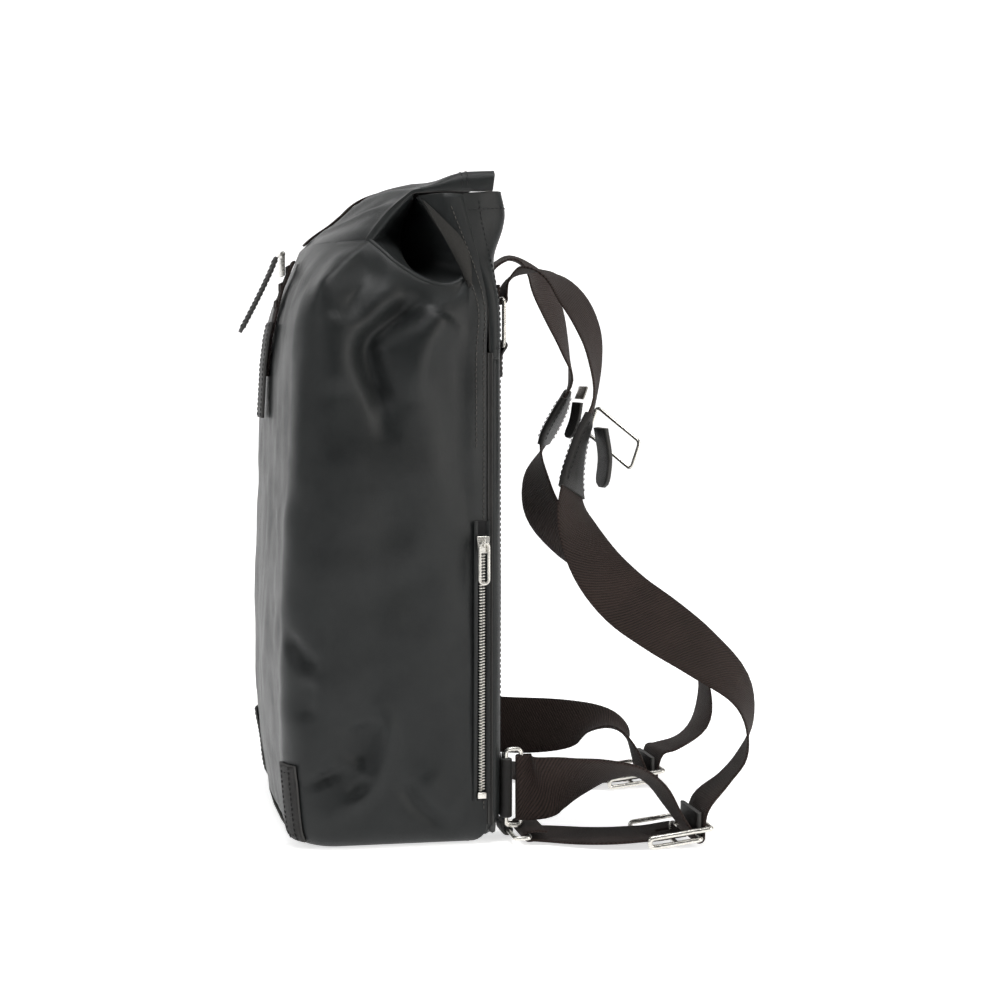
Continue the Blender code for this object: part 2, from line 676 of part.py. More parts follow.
# Each route is read from the ring down: (in from the side seam, y, z, turn in degrees).
RIGHT_ROUTE = [
    (0.0785, 0.1000, 0.3900, -4), (0.073, 0.113, 0.3970, -5), (0.064, 0.125, 0.394, 16),
    (0.058, 0.141, 0.377, 34), (0.051, 0.151, 0.356, 34), (0.046, 0.1550, 0.334, 26),
    (0.041, 0.1535, 0.302, 15), (0.036, 0.142, 0.272, 22), (0.029, 0.1350, 0.240, 32),
    (0.022, 0.1370, 0.218, 45), (0.014, 0.149, 0.190, 60), (0.007, 0.168, 0.167, 68),
    (0.001, 0.192, 0.149, 66), (-0.006, 0.218, 0.130, 54), (-0.012, 0.243, 0.107, 39),
    (-0.018, 0.2505, 0.082, 24), (-0.020, 0.245, 0.059, 11), (-0.019, 0.233, 0.0435, 8)]
LEFT_ROUTE = [
    (0.079, 0.108, 0.4030, 0), (0.079, 0.120, 0.4105, 2), (0.077, 0.132, 0.4085, 12),
    (0.073, 0.147, 0.393, 31), (0.067, 0.161, 0.371, 33), (0.062, 0.171, 0.346, 22),
    (0.057, 0.1775, 0.322, 9), (0.051, 0.171, 0.296, 20), (0.046, 0.158, 0.267, 18),
    (0.044, 0.153, 0.238, -16), (0.041, 0.160, 0.211, -32), (0.035, 0.186, 0.182, -32),
    (0.034, 0.226, 0.154, -20), (0.039, 0.263, 0.122, -2), (0.051, 0.284, 0.090, 9),
    (0.068, 0.284, 0.060, 6), (0.085, 0.270, 0.038, 2), (0.0915, 0.2470, 0.0285, 0)]
# Return legs, from the buckle back to the lower ring.
RIGHT_RETURN = [
    (-0.0175, 0.1955, 0.0240, 2), (-0.017, 0.1845, 0.0405, 7), (-0.015, 0.172, 0.0490, 15),
    (-0.011, 0.151, 0.0500, 30), (-0.007, 0.130, 0.0455, 50), (-0.0035, 0.1130, 0.0405, 74)]
LEFT_RETURN = [
    (0.0912, 0.2225, 0.0240, 0), (0.085, 0.2140, 0.0390, -4), (0.073, 0.203, 0.0440, -12),
    (0.058, 0.190, 0.0425, -32), (0.044, 0.168, 0.0400, -56), (0.027, 0.138, 0.0380, -76)]
# Short base webs, from the base ring to the buckle.
RIGHT_BASE = [
    (0.0085, 0.1164, 0.0031, 0), (-0.0025, 0.1350, 0.0036, 0), (-0.0135, 0.1535, 0.0052, 0)]
LEFT_BASE = [
    (0.0171, 0.1188, 0.0031, 0), (0.0313, 0.1363, 0.0033, 0), (0.0520, 0.1457, 0.0036, 0),
    (0.0727, 0.1551, 0.0042, 0), (0.0869, 0.1726, 0.0056, 0)]
BUCKLE = {1: (-0.0170, 0.1915, 0.0047), -1: (0.0920, 0.2130, 0.0047)}      # inset, y, z of each middle
BUCKLE_LONG = 0.036
BUCKLE_TILT = math.radians(7)
DECK = 0.0062                   # the buckle's upper loop above its lower loop
BAR_ALONG = 0.0010              # the prong's bar, beyond the buckle's middle
PRONG = 0.0018                  # diameter of the prong's wire
WEB_END = 0.0032                # thickness of the bound end of the web


def buckle_half():
    return WEB_WIDTH / 2 + WEB_PLAY + FRAME_WIRE / 2


def buckle_point(side, across, along, up):
    """A point in the buckle's own frame: across is +X, along runs away from the bag."""
    inset, y, z = BUCKLE[side]
    c, s = math.cos(BUCKLE_TILT), math.sin(BUCKLE_TILT)
    return np.array([place(side, inset) + across, y + along * c - up * s, z + along * s + up * c])


KEEPER_Z = {1: (0.238, 0.292), -1: (0.266, 0.310)}       # heights that each chest keeper covers


def strap_route(side):
    """The one long web: round the ring, over the shoulder, round the buckle's bar, back to the ring."""
    def moved(rows, before=(), after=()):
        return [*before, *[(place(side, i), y, lifted(z), turn) for i, y, z, turn in rows], *after]

    start_x = place(side, UPPER_RING_IN)
    bar = (upper_ring_y(side), UPPER_RING_Z)
    hug = RING_WIRE / 2 + GAP + WEB / 2 + 0.0004
    tail = [(bar[0] - hug + 0.0004, bar[1] + 0.0100), (bar[0] - hug, bar[1] + 0.0040)]
    route = flat(start_x, tail + arc(bar, hug, 180, 350, 7))
    leaving = (start_x, bar[0] + hug + 0.0006, bar[1] + 0.0040, 0)
    x, y, z = buckle_point(side, 0, BUCKLE_LONG / 2, 0)
    hug = FRAME_WIRE / 2 + GAP + WEB / 2 + 0.0004
    arriving = (x, y + hug + 0.0035, z + 0.0190, 0)
    route += directed(moved(RIGHT_ROUTE if side > 0 else LEFT_ROUTE, [leaving], [arriving]))
    route += flat(x, arc((y, z), hug, 12, -192, 7))
    route += directed(moved(RIGHT_RETURN if side > 0 else LEFT_RETURN))
    x, y = place(side, LOWER_RING_IN), lower_ring_y(side) + RING_DEEP
    hug = RING_WIRE / 2 + GAP + WEB / 2 + 0.0004
    turn = [(hug + 0.0004, 0.010)] + arc((0, 0), hug, 10, -190, 7) + [(-hug, 0.008)]
    return route + [(x + side * px, y + py, LOWER_RING_Z, 0.0, 0.0, float(side)) for px, py in turn]


def make_straps():
    for side, hand in ((1, "right"), (-1, "left")):
        run = spline(strap_route(side), 2)
        web("shoulder_strap_" + hand, run, WEB_WIDTH, WEB)
        low, high = KEEPER_Z[side]
        part = [p for p in run if lifted(low) <= p[2] <= lifted(high) and p[1] < 0.20]
        sleeve("chest_keeper_" + hand, part, WEB_WIDTH + 0.0020, WEB + 0.0016, 0.0016)


def make_base_straps():
    for side, hand in ((1, "right"), (-1, "left")):
        x, y = place(side, BASE_RING_IN), base_ring_y(side) + RING_DEEP
        hug = RING_WIRE / 2 + GAP + WEB / 2 + 0.0004
        route = flat(x, [(y + 0.0125, BASE_RING_Z + hug - 0.0004), (y + 0.006, BASE_RING_Z + hug + 0.0003)])
        route += flat(x, arc((y, BASE_RING_Z), hug, 90, 270, 6) + [(y + 0.0045, BASE_RING_Z - hug + 0.0002)])
        legs = RIGHT_BASE if side > 0 else LEFT_BASE
        route += directed([(place(side, inset), py, pz, turn) for inset, py, pz, turn in legs])
        over = FRAME_WIRE / 2 + GAP + WEB / 2 + 0.0003
        for along in (-0.0185, -0.0100, BAR_ALONG, 0.0090):
            point = buckle_point(side, 0, along, over + 0.0008 * (along < -0.015))
            route += flat(point[0], [point[1:]])
        strap = web("base_strap_" + hand, spline(route, 2), WEB_WIDTH, WEB)
        eyelet = box("eyelet_cut_" + hand, (-0.0022, -0.0080, -0.005), (0.0022, 0.0048, 0.005), "web")
        eyelet.location = buckle_point(side, 0, BAR_ALONG, over)
        eyelet.rotation_euler = (BUCKLE_TILT, 0, 0)
        eyelet.hide_render = True
        eyelet.display_type = 'WIRE'
        cut = strap.modifiers.new("eyelet", 'BOOLEAN')
        cut.operation = 'DIFFERENCE'
        cut.object = eyelet


def make_buckles():
    half, end = buckle_half(), BUCKLE_LONG / 2
    for side, hand in ((1, "right"), (-1, "left")):
        def at(across, along, up):
            return buckle_point(side, across, along, up)

        beyond = end + 0.0084
        frame = wire("buckle_frame_" + hand, [
            at(-half, end, 0), at(half, end, 0), at(half, -end, 0), at(half, -end, DECK),
            at(half, beyond, DECK), at(-half, beyond, DECK), at(-half, -end, DECK),
            at(-half, -end, 0)], FRAME_WIRE / 2, bend=0.0029)
        across = [at(-half, BAR_ALONG, 0), at(0, BAR_ALONG, 0), at(half, BAR_ALONG, 0.0001)]
        bar = wire("bar_join_" + hand, across, FRAME_WIRE / 2 - 0.0002, bend=0.002, link=False)
        bar.hide_render = True
        bar.display_type = 'WIRE'
        join = frame.modifiers.new("bar", 'BOOLEAN')
        join.operation = 'UNION'
        join.object = bar
        eye = FRAME_WIRE / 2 + GAP + PRONG / 2
        curl = [at(0, BAR_ALONG + a, b) for a, b in arc((0, 0), eye, -210, 0, 8)]
        hooked = arc((eye + PRONG, 0.0068), PRONG, 180, 68, 3)
        stem = [at(0, BAR_ALONG + a, b) for a, b in hooked + [(eye + 0.0058, 0.0062)]]
        prong = wire("buckle_prong_" + hand, curl + stem, PRONG / 2, bend=0.0005, link=False, sides=6, steps=2)
        turn_about(prong, at(0, BAR_ALONG, 0))
        x, y, z = at(0, end, 0)
        low = z + FRAME_WIRE / 2 + GAP + 0.0005
        bound = flat(x, [(y, low + 0.0036 * k) for k in range(5)])
        web("web_end_" + hand, bound, WEB_WIDTH - 0.001, WEB_END, "trim")


def ring(name, corners, bend=0.004):
    wire(name, corners, RING_WIRE / 2, bend=bend)


def make_rings():
    for side, hand in ((1, "right"), (-1, "left")):
        x, y, low = place(side, UPPER_RING_IN), upper_ring_y(side), UPPER_RING_Z - RING_TALL
        left, right = x - RING_HALF, x + RING_HALF
        upright = [(left, UPPER_RING_Z), (right, UPPER_RING_Z), (right, low), (left, low)]
        ring("upper_ring_" + hand, [(px, y, pz) for px, pz in upright])
        back = back_near(side, UPPER_RING_IN, WEB_WIDTH / 2, low - 0.022)
        make_tab("upper_tab_" + hand, x, (y, low), back, WEB_WIDTH - 0.003, -1)

        x, y = place(side, LOWER_RING_IN), lower_ring_y(side)
        far, low, high = y + RING_DEEP, LOWER_RING_Z - RING_HALF, LOWER_RING_Z + RING_HALF
        ring("lower_ring_" + hand, [(x, y, low), (x, far, low), (x, far, high), (x, y, high)], 0.003)
        make_side_tab("lower_tab_" + hand, side, (x, y))

        x, y = place(side, BASE_RING_IN), base_ring_y(side)
        left, right, far = x - RING_HALF, x + RING_HALF, y + RING_DEEP
        level = [(left, y), (right, y), (right, far), (left, far)]
        ring("base_ring_" + hand, [(px, py, BASE_RING_Z) for px, py in level], 0.003)
        back = back_near(side, BASE_RING_IN, RING_HALF, 0.01)
        make_tab("base_tab_" + hand, x - side * 0.012, (y, BASE_RING_Z), back, 0.022, 1, 0.0058)


HUG_TAB = RING_WIRE / 2 + GAP + TAB_LEATHER / 2 + 0.0002


def make_tab(name, x, bar, back, width, up, long=0.0220):
    """Leather loop round a ring's level bar, its two ends sewn to the back, above or below the bar."""
    near = back + GAP + TAB_LEATHER / 2
    far = near + TAB_LEATHER + 0.0003
    line = [(near, bar[1] + up * long), (near, bar[1] + up * (HUG_TAB + 0.001))]
    line += arc(bar, HUG_TAB, 180, 0 if up < 0 else 360, 8)
    if long > HUG_TAB + 0.006:
        line.append((max(far, bar[0] - 0.001), bar[1] + up * (HUG_TAB + 0.004)))
    line.append((far, bar[1] + up * long))
    web(name, flat(x, line), width, TAB_LEATHER, "trim")


def make_side_tab(name, side, bar):
    """Leather loop round the lower ring's upright bar, its two ends sewn flat to the back."""
    x, y = bar
    sewn = back_y(x - side * 0.024, LOWER_RING_Z) + GAP + TAB_LEATHER / 2 + 0.0005
    far = TAB_LEATHER + 0.0003
    line = [(x - side * 0.024, sewn), (x - side * 0.006, y - HUG_TAB + 0.0002)]
    line += [(x + side * px, y + py) for px, py in arc((0, 0), HUG_TAB, -90, 90, 8)]
    line += [(x - side * 0.006, max(y - HUG_TAB + far, y + 0.0004)), (x - side * 0.024, sewn + far)]
    upright = [(px, py, LOWER_RING_Z, 0.0, 0.0, 1.0) for px, py in line]
    web(name, upright, WEB_WIDTH - 0.004, TAB_LEATHER, "trim")


# ---------------------------------------------------------------- chest clasp
CLASP_WIRE = 0.0026
CLASP_LOOP = (seam_x() - 0.040, 0.1585, 0.2635 + RISE)
CLASP_TONGUE = (0.064 - seam_x(), 0.1785, 0.2860 + RISE)
CLASP_FRAME = (seam_x() - 0.056, 0.172, 0.277 + RISE)
FRAME_ACROSS, FRAME_UP = (0.028, 0.0245, -0.0245), (0.0, 0.0065, 0.0195)      # the frame's two edges


def make_clasp():
    """A metal frame held by a leather loop on the right keeper, a plate hook on the left."""
    across, up = np.array(FRAME_ACROSS) / 2, np.array(FRAME_UP) / 2
    corners = [CLASP_FRAME + a * across + b * up for a, b in ((-1, 1), (1, 1), (1, -1), (-1, -1))]
    turn_about(wire("clasp_frame", corners, CLASP_WIRE / 2, bend=0.003), corners[3])
    x, y, z = CLASP_LOOP
    line = [(y, z + 0.021), (y + 0.0030, z), (y + 0.0008, z - 0.021)]
    web("clasp_loop", flat(x, line), 0.034, 0.0036, "trim")
    x, y, z = CLASP_TONGUE
    line = [(y + 0.0030, z + 0.014), (y + 0.0006, z), (y - 0.0048, z - 0.014)]
    web("clasp_tongue", flat(x, line), 0.030, 0.0030, "trim")
    y, z = y + 0.0042, z + 0.0165
    line = [(y, z), (y + 0.0020, z + 0.0050), (y + 0.0036, z + 0.0100)]
    turn_about(web("clasp_hook", flat(x, line), 0.028, 0.0020, "metal"), (x, y, z))


make_body()
make_base()
make_back()
make_edge_strips()
make_front_lip()
make_back_lip()
make_gussets()
make_closing_strap()
make_hook()
make_front()
make_corner_patches()
make_zip()
make_straps()
make_base_straps()
make_buckles()
make_rings()
make_clasp()
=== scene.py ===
# %% [markdown]
# # A roll-top leather backpack
# The bag is one soft leather wrap, a padded back, and a tube-like mouth that is tucked at both sides
# and folded over towards the wearer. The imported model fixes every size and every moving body. This
# file gives those bodies their real surfaces: leather that sags and creases, webbing with a weave,
# nickel wire, a zip with teeth, and thread.

# %% Load the fixed frame
import math

import bmesh
import bpy
import numpy as np
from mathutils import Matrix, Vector, noise


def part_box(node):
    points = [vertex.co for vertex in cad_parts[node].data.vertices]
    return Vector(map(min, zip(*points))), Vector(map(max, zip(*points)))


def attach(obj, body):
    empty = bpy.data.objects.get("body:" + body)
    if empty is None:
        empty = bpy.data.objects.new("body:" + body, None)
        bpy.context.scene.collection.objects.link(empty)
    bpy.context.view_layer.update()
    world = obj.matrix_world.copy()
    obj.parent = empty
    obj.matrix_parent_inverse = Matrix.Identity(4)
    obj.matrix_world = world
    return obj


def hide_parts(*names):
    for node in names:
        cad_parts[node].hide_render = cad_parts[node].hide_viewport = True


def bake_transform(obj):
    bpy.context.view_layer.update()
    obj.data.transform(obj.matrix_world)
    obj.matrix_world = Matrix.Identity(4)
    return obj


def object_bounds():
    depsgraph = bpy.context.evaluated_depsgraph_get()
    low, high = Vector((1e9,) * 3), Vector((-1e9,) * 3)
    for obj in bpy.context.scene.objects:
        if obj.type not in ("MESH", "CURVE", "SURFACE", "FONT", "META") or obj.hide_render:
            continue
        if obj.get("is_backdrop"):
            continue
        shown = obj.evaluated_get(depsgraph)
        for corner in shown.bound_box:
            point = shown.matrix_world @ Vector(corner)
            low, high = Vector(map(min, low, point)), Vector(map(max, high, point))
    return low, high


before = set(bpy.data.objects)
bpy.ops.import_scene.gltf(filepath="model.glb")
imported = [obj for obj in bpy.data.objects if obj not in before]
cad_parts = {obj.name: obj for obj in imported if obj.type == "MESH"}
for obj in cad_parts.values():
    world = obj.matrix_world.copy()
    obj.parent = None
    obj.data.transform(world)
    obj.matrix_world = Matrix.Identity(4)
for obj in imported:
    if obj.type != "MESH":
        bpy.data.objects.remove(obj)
CAD_BOX = [list(corner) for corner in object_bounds()]

# %% [markdown]
# ## Sizes the looks share with the frame
# A few driving sizes repeat here because the visible leather is built from the same lines as the
# plain solids inside it.

# %% Driving sizes
GAP = 0.0003
LEATHER = 0.0022
BASE_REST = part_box("base_panel")[0].z
BACK_LOW, BACK_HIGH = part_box("back_panel")
YOKE_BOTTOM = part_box("back_yoke")[0].z
SEAM_X = BACK_HIGH.x + 0.0002          # half the width between the two side seams
BODY_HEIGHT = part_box("back_yoke")[1].z - 0.012
SIDE_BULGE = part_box("main_shell")[1].x - SEAM_X
BACK_Y = 0.0775                        # outer face of the back leather at its side edges
SHELL_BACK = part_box("main_shell")[1].y
BACK_CROWN = 0.012
CORNER = 0.030
SWELL_BY = 0.60
FOOT = 0.013                           # radius where the sides turn under the base
WEB, WEB_WIDTH, NARROW_WEB = 0.0018, 0.045, 0.025
RING_WIRE, FRAME_WIRE, PRONG = 0.0030, 0.0034, 0.0018
print(f"half width {SEAM_X:.4f}, swell {SIDE_BULGE:.4f}, rear edge of the wrap {SHELL_BACK:.4f}")

# %% [markdown]
# ## Small geometry helpers
# Most pieces are grids: rows of points that run along something. Numpy holds a grid as an array of
# rows by columns by three, so a wall, a hem or a web is one function call.


# %% Curves
def unit(v):
    v = np.asarray(v, float)
    return v / np.maximum(np.linalg.norm(v, axis=-1, keepdims=True), 1e-12)


def smoothstep(t):
    t = np.clip(t, 0.0, 1.0)
    return t * t * (3 - 2 * t)


def spline(stations, steps):
    """Smooth curve through the stations, `steps` points for each span. The knots follow the
    stations' spacing, so close stations don't make the curve overshoot."""
    p = np.asarray(stations, float)
    p = np.vstack([2 * p[0] - p[1], p, 2 * p[-1] - p[-2]])
    dims = min(3, p.shape[1])
    spacing = np.linalg.norm(np.diff(p[:, :dims], axis=0), axis=1)
    knots = np.concatenate([[0], np.cumsum(np.maximum(spacing, 1e-6) ** 0.5)])
    out = []
    for i in range(1, len(p) - 2):
        a, b, c, d = knots[i - 1:i + 3]
        t = (b + (c - b) * np.arange(steps) / steps)[:, None]
        first = (b - t) / (b - a) * p[i - 1] + (t - a) / (b - a) * p[i]
        second = (c - t) / (c - b) * p[i] + (t - b) / (c - b) * p[i + 1]
        third = (d - t) / (d - c) * p[i + 1] + (t - c) / (d - c) * p[i + 2]
        left = (c - t) / (c - a) * first + (t - a) / (c - a) * second
        right = (d - t) / (d - b) * second + (t - b) / (d - b) * third
        out.append((c - t) / (c - b) * left + (t - b) / (c - b) * right)
    return np.vstack(out + [p[-2][None]])


def resample(points, count):
    """The same line with `count` evenly spaced points."""
    points = np.asarray(points, float)
    run = np.concatenate([[0], np.cumsum(np.linalg.norm(np.diff(points[:, :3], axis=0), axis=1))])
    at = np.linspace(0, run[-1], count)
    return np.stack([np.interp(at, run, points[:, k]) for k in range(points.shape[1])], axis=1)


def smooth_line(stations, count):
    return resample(spline(stations, 12), count)


def directed(stations, reference=(1.0, 0, 0)):
    """Stations of (x, y, z, turn) with the turn, in degrees about the web's run, made a direction."""
    stations = np.asarray(stations, float)
    out = []
    for i, (x, y, z, turn) in enumerate(stations):
        along = unit(stations[min(i + 1, len(stations) - 1), :3] - stations[max(i - 1, 0), :3])
        side = unit(np.array(reference, float) - along * np.dot(along, reference))
        a = math.radians(turn)
        out.append((x, y, z, *(side * math.cos(a) + np.cross(along, side) * math.sin(a))))
    return out


def flat(x, line):
    """A web whose width lies along X: one x and a line of (y, z)."""
    return [(x, y, z, 1.0, 0.0, 0.0) for y, z in line]


def arc(centre, radius, start, stop, steps):
    angles = np.radians(np.linspace(start, stop, steps))
    return [(centre[0] + radius * math.cos(a), centre[1] + radius * math.sin(a)) for a in angles]


# %% [markdown]
# A mesh comes from one of a few makers: a wall with two faces and a rounded cut edge, a flat ribbon,
# a closed sleeve round a web, a bent wire, and a block with soft edges.

# %% Meshes
def make(name, points, faces, materials, uvs=None, slots=None, smooth_angle=45):
    """A mesh object from points and faces, with its own UV map and material slots."""
    mesh = bpy.data.meshes.new(name)
    mesh.from_pydata(np.asarray(points, float).tolist(), [], faces)
    for made in materials:
        mesh.materials.append(made)
    if slots is not None:
        mesh.polygons.foreach_set("material_index", slots)
    if uvs is not None:
        layer = mesh.uv_layers.new(name="UVMap")
        corners = np.zeros(len(mesh.loops), int)
        mesh.loops.foreach_get("vertex_index", corners)
        layer.data.foreach_set("uv", np.asarray(uvs, float)[corners].astype(np.float32).ravel())
    mesh.shade_smooth()
    mesh.set_sharp_from_angle(angle=math.radians(smooth_angle))
    body = bpy.data.objects.new(name, mesh)
    bpy.context.scene.collection.objects.link(body)
    return body


def grid_normals(grid):
    across = np.gradient(grid, axis=1)
    along = np.gradient(grid, axis=0)
    return unit(np.cross(across, along))


def wall(name, grid, thick, materials, outward, smooth_angle=45):
    """Closed sheet of leather: the grid is its outer face, and its inner face lies `thick` behind.
    outward is +1 or -1 and says which side of the grid the outer face looks to."""
    rows, cols = grid.shape[:2]
    normals = grid_normals(grid) * outward
    inner = grid - normals * np.asarray(thick).reshape(-1, 1, 1)
    middle = (grid + inner) / 2
    edge = np.concatenate([grid.reshape(-1, 3), inner.reshape(-1, 3)])
    index = np.arange(rows * cols).reshape(rows, cols)
    low = index + rows * cols
    quads = np.stack([index[:-1, :-1], index[:-1, 1:], index[1:, 1:], index[1:, :-1]], -1).reshape(-1, 4)
    back = np.stack([low[:-1, :-1], low[1:, :-1], low[1:, 1:], low[:-1, 1:]], -1).reshape(-1, 4)
    ring = np.concatenate([index[0], index[1:, -1], index[-1, -2::-1], index[-2:0:-1, 0]])
    after = np.roll(ring, -1)
    # the cut edge is rounded by one more row of points, half way through the wall
    flat_middle = middle.reshape(-1, 3)
    inside = np.concatenate([index[min(1, rows - 1)], index[1:, -2], index[-2, -2::-1], index[-2:0:-1, 1]])
    swell = unit(flat_middle[ring] - flat_middle[inside]) * float(np.min(thick)) * 0.30
    rim = flat_middle[ring] + swell
    points = np.vstack([edge, rim])
    rim_index = 2 * rows * cols + np.arange(len(ring))
    rim_after = np.roll(rim_index, -1)
    sides = np.concatenate([np.stack([ring, rim_index, rim_after, after], -1),
                            np.stack([rim_index, ring + rows * cols, after + rows * cols, rim_after], -1)])
    if outward < 0:
        quads, back, sides = quads[:, ::-1], back[:, ::-1], sides[:, ::-1]
    faces = np.concatenate([quads, back, sides])
    slots = np.zeros(len(faces), np.int32)
    if len(materials) > 1:
        slots[len(quads) + len(back):] = 1
    if len(materials) > 2:
        slots[len(quads):len(quads) + len(back)] = 2
    return make(name, points, faces.tolist(), materials, slots=slots, smooth_angle=smooth_angle)


def sections(route):
    route = np.asarray(route, float)
    along = unit(np.gradient(route[:, :3], axis=0))
    across = unit(route[:, 3:6] - along * np.sum(along * route[:, 3:6], axis=1, keepdims=True))
    return route[:, :3], across, np.cross(along, across)


def tube_faces(rows, cols, closed):
    index = np.arange(rows * cols).reshape(rows, cols)
    turned = np.roll(index, -1, axis=1)
    if closed:
        below = np.roll(index, -1, axis=0)
        return np.stack([index, turned, np.roll(turned, -1, axis=0), below], -1).reshape(-1, 4)
    return np.stack([index[:-1], turned[:-1], turned[1:], index[1:]], -1).reshape(-1, 4)


def ribbon(name, route, width, thick, materials, wave=0.0, wide=8):
    """Flat web or strap along a route, with rounded edges. Its UV map is in metres: across, along."""
    centre, across, normal = sections(route)
    s = np.linspace(-1, 1, wide) * (width / 2 - thick * 0.35)
    upper = [(x, thick / 2 * (1 - 0.10 * (2 * x / width) ** 2)) for x in s]
    profile = upper + [(width / 2, thick * 0.22), (width / 2, -thick * 0.22)]
    profile += [(x, -y) for x, y in reversed(upper)] + [(-width / 2, -thick * 0.22),
                                                        (-width / 2, thick * 0.22)]
    profile = np.array(profile)
    run = np.concatenate([[0], np.cumsum(np.linalg.norm(np.diff(centre, axis=0), axis=1))])
    ripple = wave * np.sin(run * 2 * math.pi / 0.037)[:, None, None] * normal[:, None]
    grid = (centre[:, None] + across[:, None] * profile[None, :, :1]
            + normal[:, None] * profile[None, :, 1:] + ripple)
    rows, cols = grid.shape[:2]
    faces = tube_faces(rows, cols, False)[:, ::-1].tolist()
    slots = [1 if len(materials) > 1
             and (k % cols) in (wide - 1, wide, wide + 1, cols - 3, cols - 2, cols - 1)
             else 0 for k in range(len(faces))]
    faces += [list(range(cols)), list(range(rows * cols - 1, (rows - 1) * cols - 1, -1))]
    slots += [min(1, len(materials) - 1)] * 2
    uvs = np.stack([np.tile(profile[:, 0], rows), np.repeat(run, cols)], axis=1)
    made = make(name, grid.reshape(-1, 3), faces, materials, uvs, slots)
    return outward(made)


def outward(body):
    """Recalculates a closed piece's faces to point out."""
    work = bmesh.new()
    work.from_mesh(body.data)
    bmesh.ops.recalc_face_normals(work, faces=work.faces)
    work.to_mesh(body.data)
    work.free()
    return body


def loop_sleeve(name, route, width, thick, wall_thick, materials, sides=28):
    """Leather keeper: a flattened tube that wraps a web, with a soft oval section."""
    centre, across, normal = sections(route)
    angles = np.linspace(0, 2 * math.pi, sides, endpoint=False)

    def oval(grow):
        x = np.sign(np.cos(angles)) * np.abs(np.cos(angles)) ** 0.35 * (width / 2 + grow)
        y = np.sign(np.sin(angles)) * np.abs(np.sin(angles)) ** 0.6 * (thick / 2 + grow)
        return x, y

    rings = []
    for grow in (wall_thick, wall_thick * 0.1):
        x, y = oval(grow)
        rings.append(centre[:, None] + across[:, None] * x[None, :, None]
                     + normal[:, None] * y[None, :, None])
    outer, inner = rings
    rows, cols = outer.shape[:2]
    points = np.vstack([outer.reshape(-1, 3), inner.reshape(-1, 3)])
    faces = np.concatenate([tube_faces(rows, cols, False),
                            tube_faces(rows, cols, False)[:, ::-1] + rows * cols])
    rims = []
    for row, flip in ((0, False), (rows - 1, True)):
        a = np.arange(cols) + row * cols
        b = np.roll(a, -1)
        quad = np.stack([a, a + rows * cols, b + rows * cols, b], -1)
        rims.append(quad[:, ::-1] if flip else quad)
    slots = [0] * len(faces) + [min(1, len(materials) - 1)] * (2 * cols)
    faces = np.concatenate([faces] + rims).tolist()
    run = np.arange(rows) * 0.001
    uvs = np.tile(np.stack([np.tile(angles * width / 6, rows), np.repeat(run, cols)], 1), (2, 1))
    return outward(make(name, points, faces, materials, uvs, slots))


def wire(name, corners, radius, material, bend=0.004, sides=14, link=True, flatten=1.0, up=None):
    """Wire bent through corners into a link or an open piece. flatten squeezes it along `up`."""
    corners = [np.asarray(c, float) for c in corners]
    count, path = len(corners), []
    for i, c in enumerate(corners):
        if not link and i in (0, count - 1):
            path.append(c)
            continue
        before, after = corners[i - 1], corners[(i + 1) % count]
        first, second = c + unit(before - c) * bend, c + unit(after - c) * bend
        for t in np.linspace(0, 1, 9):
            path.append((1 - t) ** 2 * first + 2 * t * (1 - t) * c + t ** 2 * second)
    path = np.array(path)
    if link:
        runs = unit(np.roll(path, -1, axis=0) - np.roll(path, 1, axis=0))
    else:
        runs = unit(np.gradient(path, axis=0))
    normal = unit(np.cross(corners[1] - corners[0], corners[2] - corners[1])) if up is None else unit(up)
    normals = []
    for run in runs:
        normal = unit(normal - run * np.dot(normal, run))
        normals.append(normal)
    normals = np.array(normals)
    twist = 0.0
    if link:
        closed = unit(normals[-1] - runs[0] * np.dot(normals[-1], runs[0]))
        twist = -math.atan2(np.dot(closed, np.cross(runs[0], normals[0])), np.dot(closed, normals[0]))
    angle = 2 * math.pi * (np.arange(sides) + 0.5) / sides
    turn = angle[None] + twist * np.arange(len(path))[:, None] / len(path)
    out = (np.cos(turn)[..., None] * normals[:, None] * flatten
           + np.sin(turn)[..., None] * np.cross(runs, normals)[:, None])
    points = (path[:, None] + radius * out).reshape(-1, 3)
    faces = tube_faces(len(path), sides, link).tolist()
    if not link:
        faces += [list(range(sides)), list(range(len(points) - 1, len(points) - sides - 1, -1))]
    return outward(make(name, points, faces, [material]))


def block(name, low, high, material, bevel, segments=3, taper=None):
    """Metal or leather block with rounded edges, built as a cube and bevelled in the mesh."""
    low, high = np.asarray(low, float), np.asarray(high, float)
    work = bmesh.new()
    bmesh.ops.create_cube(work, size=1.0)
    for v in work.verts:
        p = (np.array(v.co) + 0.5) * (high - low) + low
        if taper is not None:
            p = taper(p)
        v.co = Vector(p)
    bmesh.ops.bevel(work, geom=list(work.edges), offset=bevel, segments=segments, profile=0.6, affect='EDGES')
    bmesh.ops.recalc_face_normals(work, faces=work.faces)
    mesh = bpy.data.meshes.new(name)
    work.to_mesh(mesh)
    work.free()
    mesh.materials.append(material)
    mesh.shade_smooth()
    mesh.set_sharp_from_angle(angle=math.radians(35))
    body = bpy.data.objects.new(name, mesh)
    bpy.context.scene.collection.objects.link(body)
    return body


def settle(body, rides_on, slot, *nodes):
    """Says which body a piece moves with and which plain solids it stands for. Its slot argument is not used.
    """
    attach(body, rides_on)
    if nodes:
        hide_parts(*nodes)
    return body


# %% [markdown]
# ## Camera, light and floor
# A long lens a metre and a half away looks at the zip side, almost square on. Large soft lights and
# a white room keep the shadows faint, and they draw the long soft highlights that leather needs.

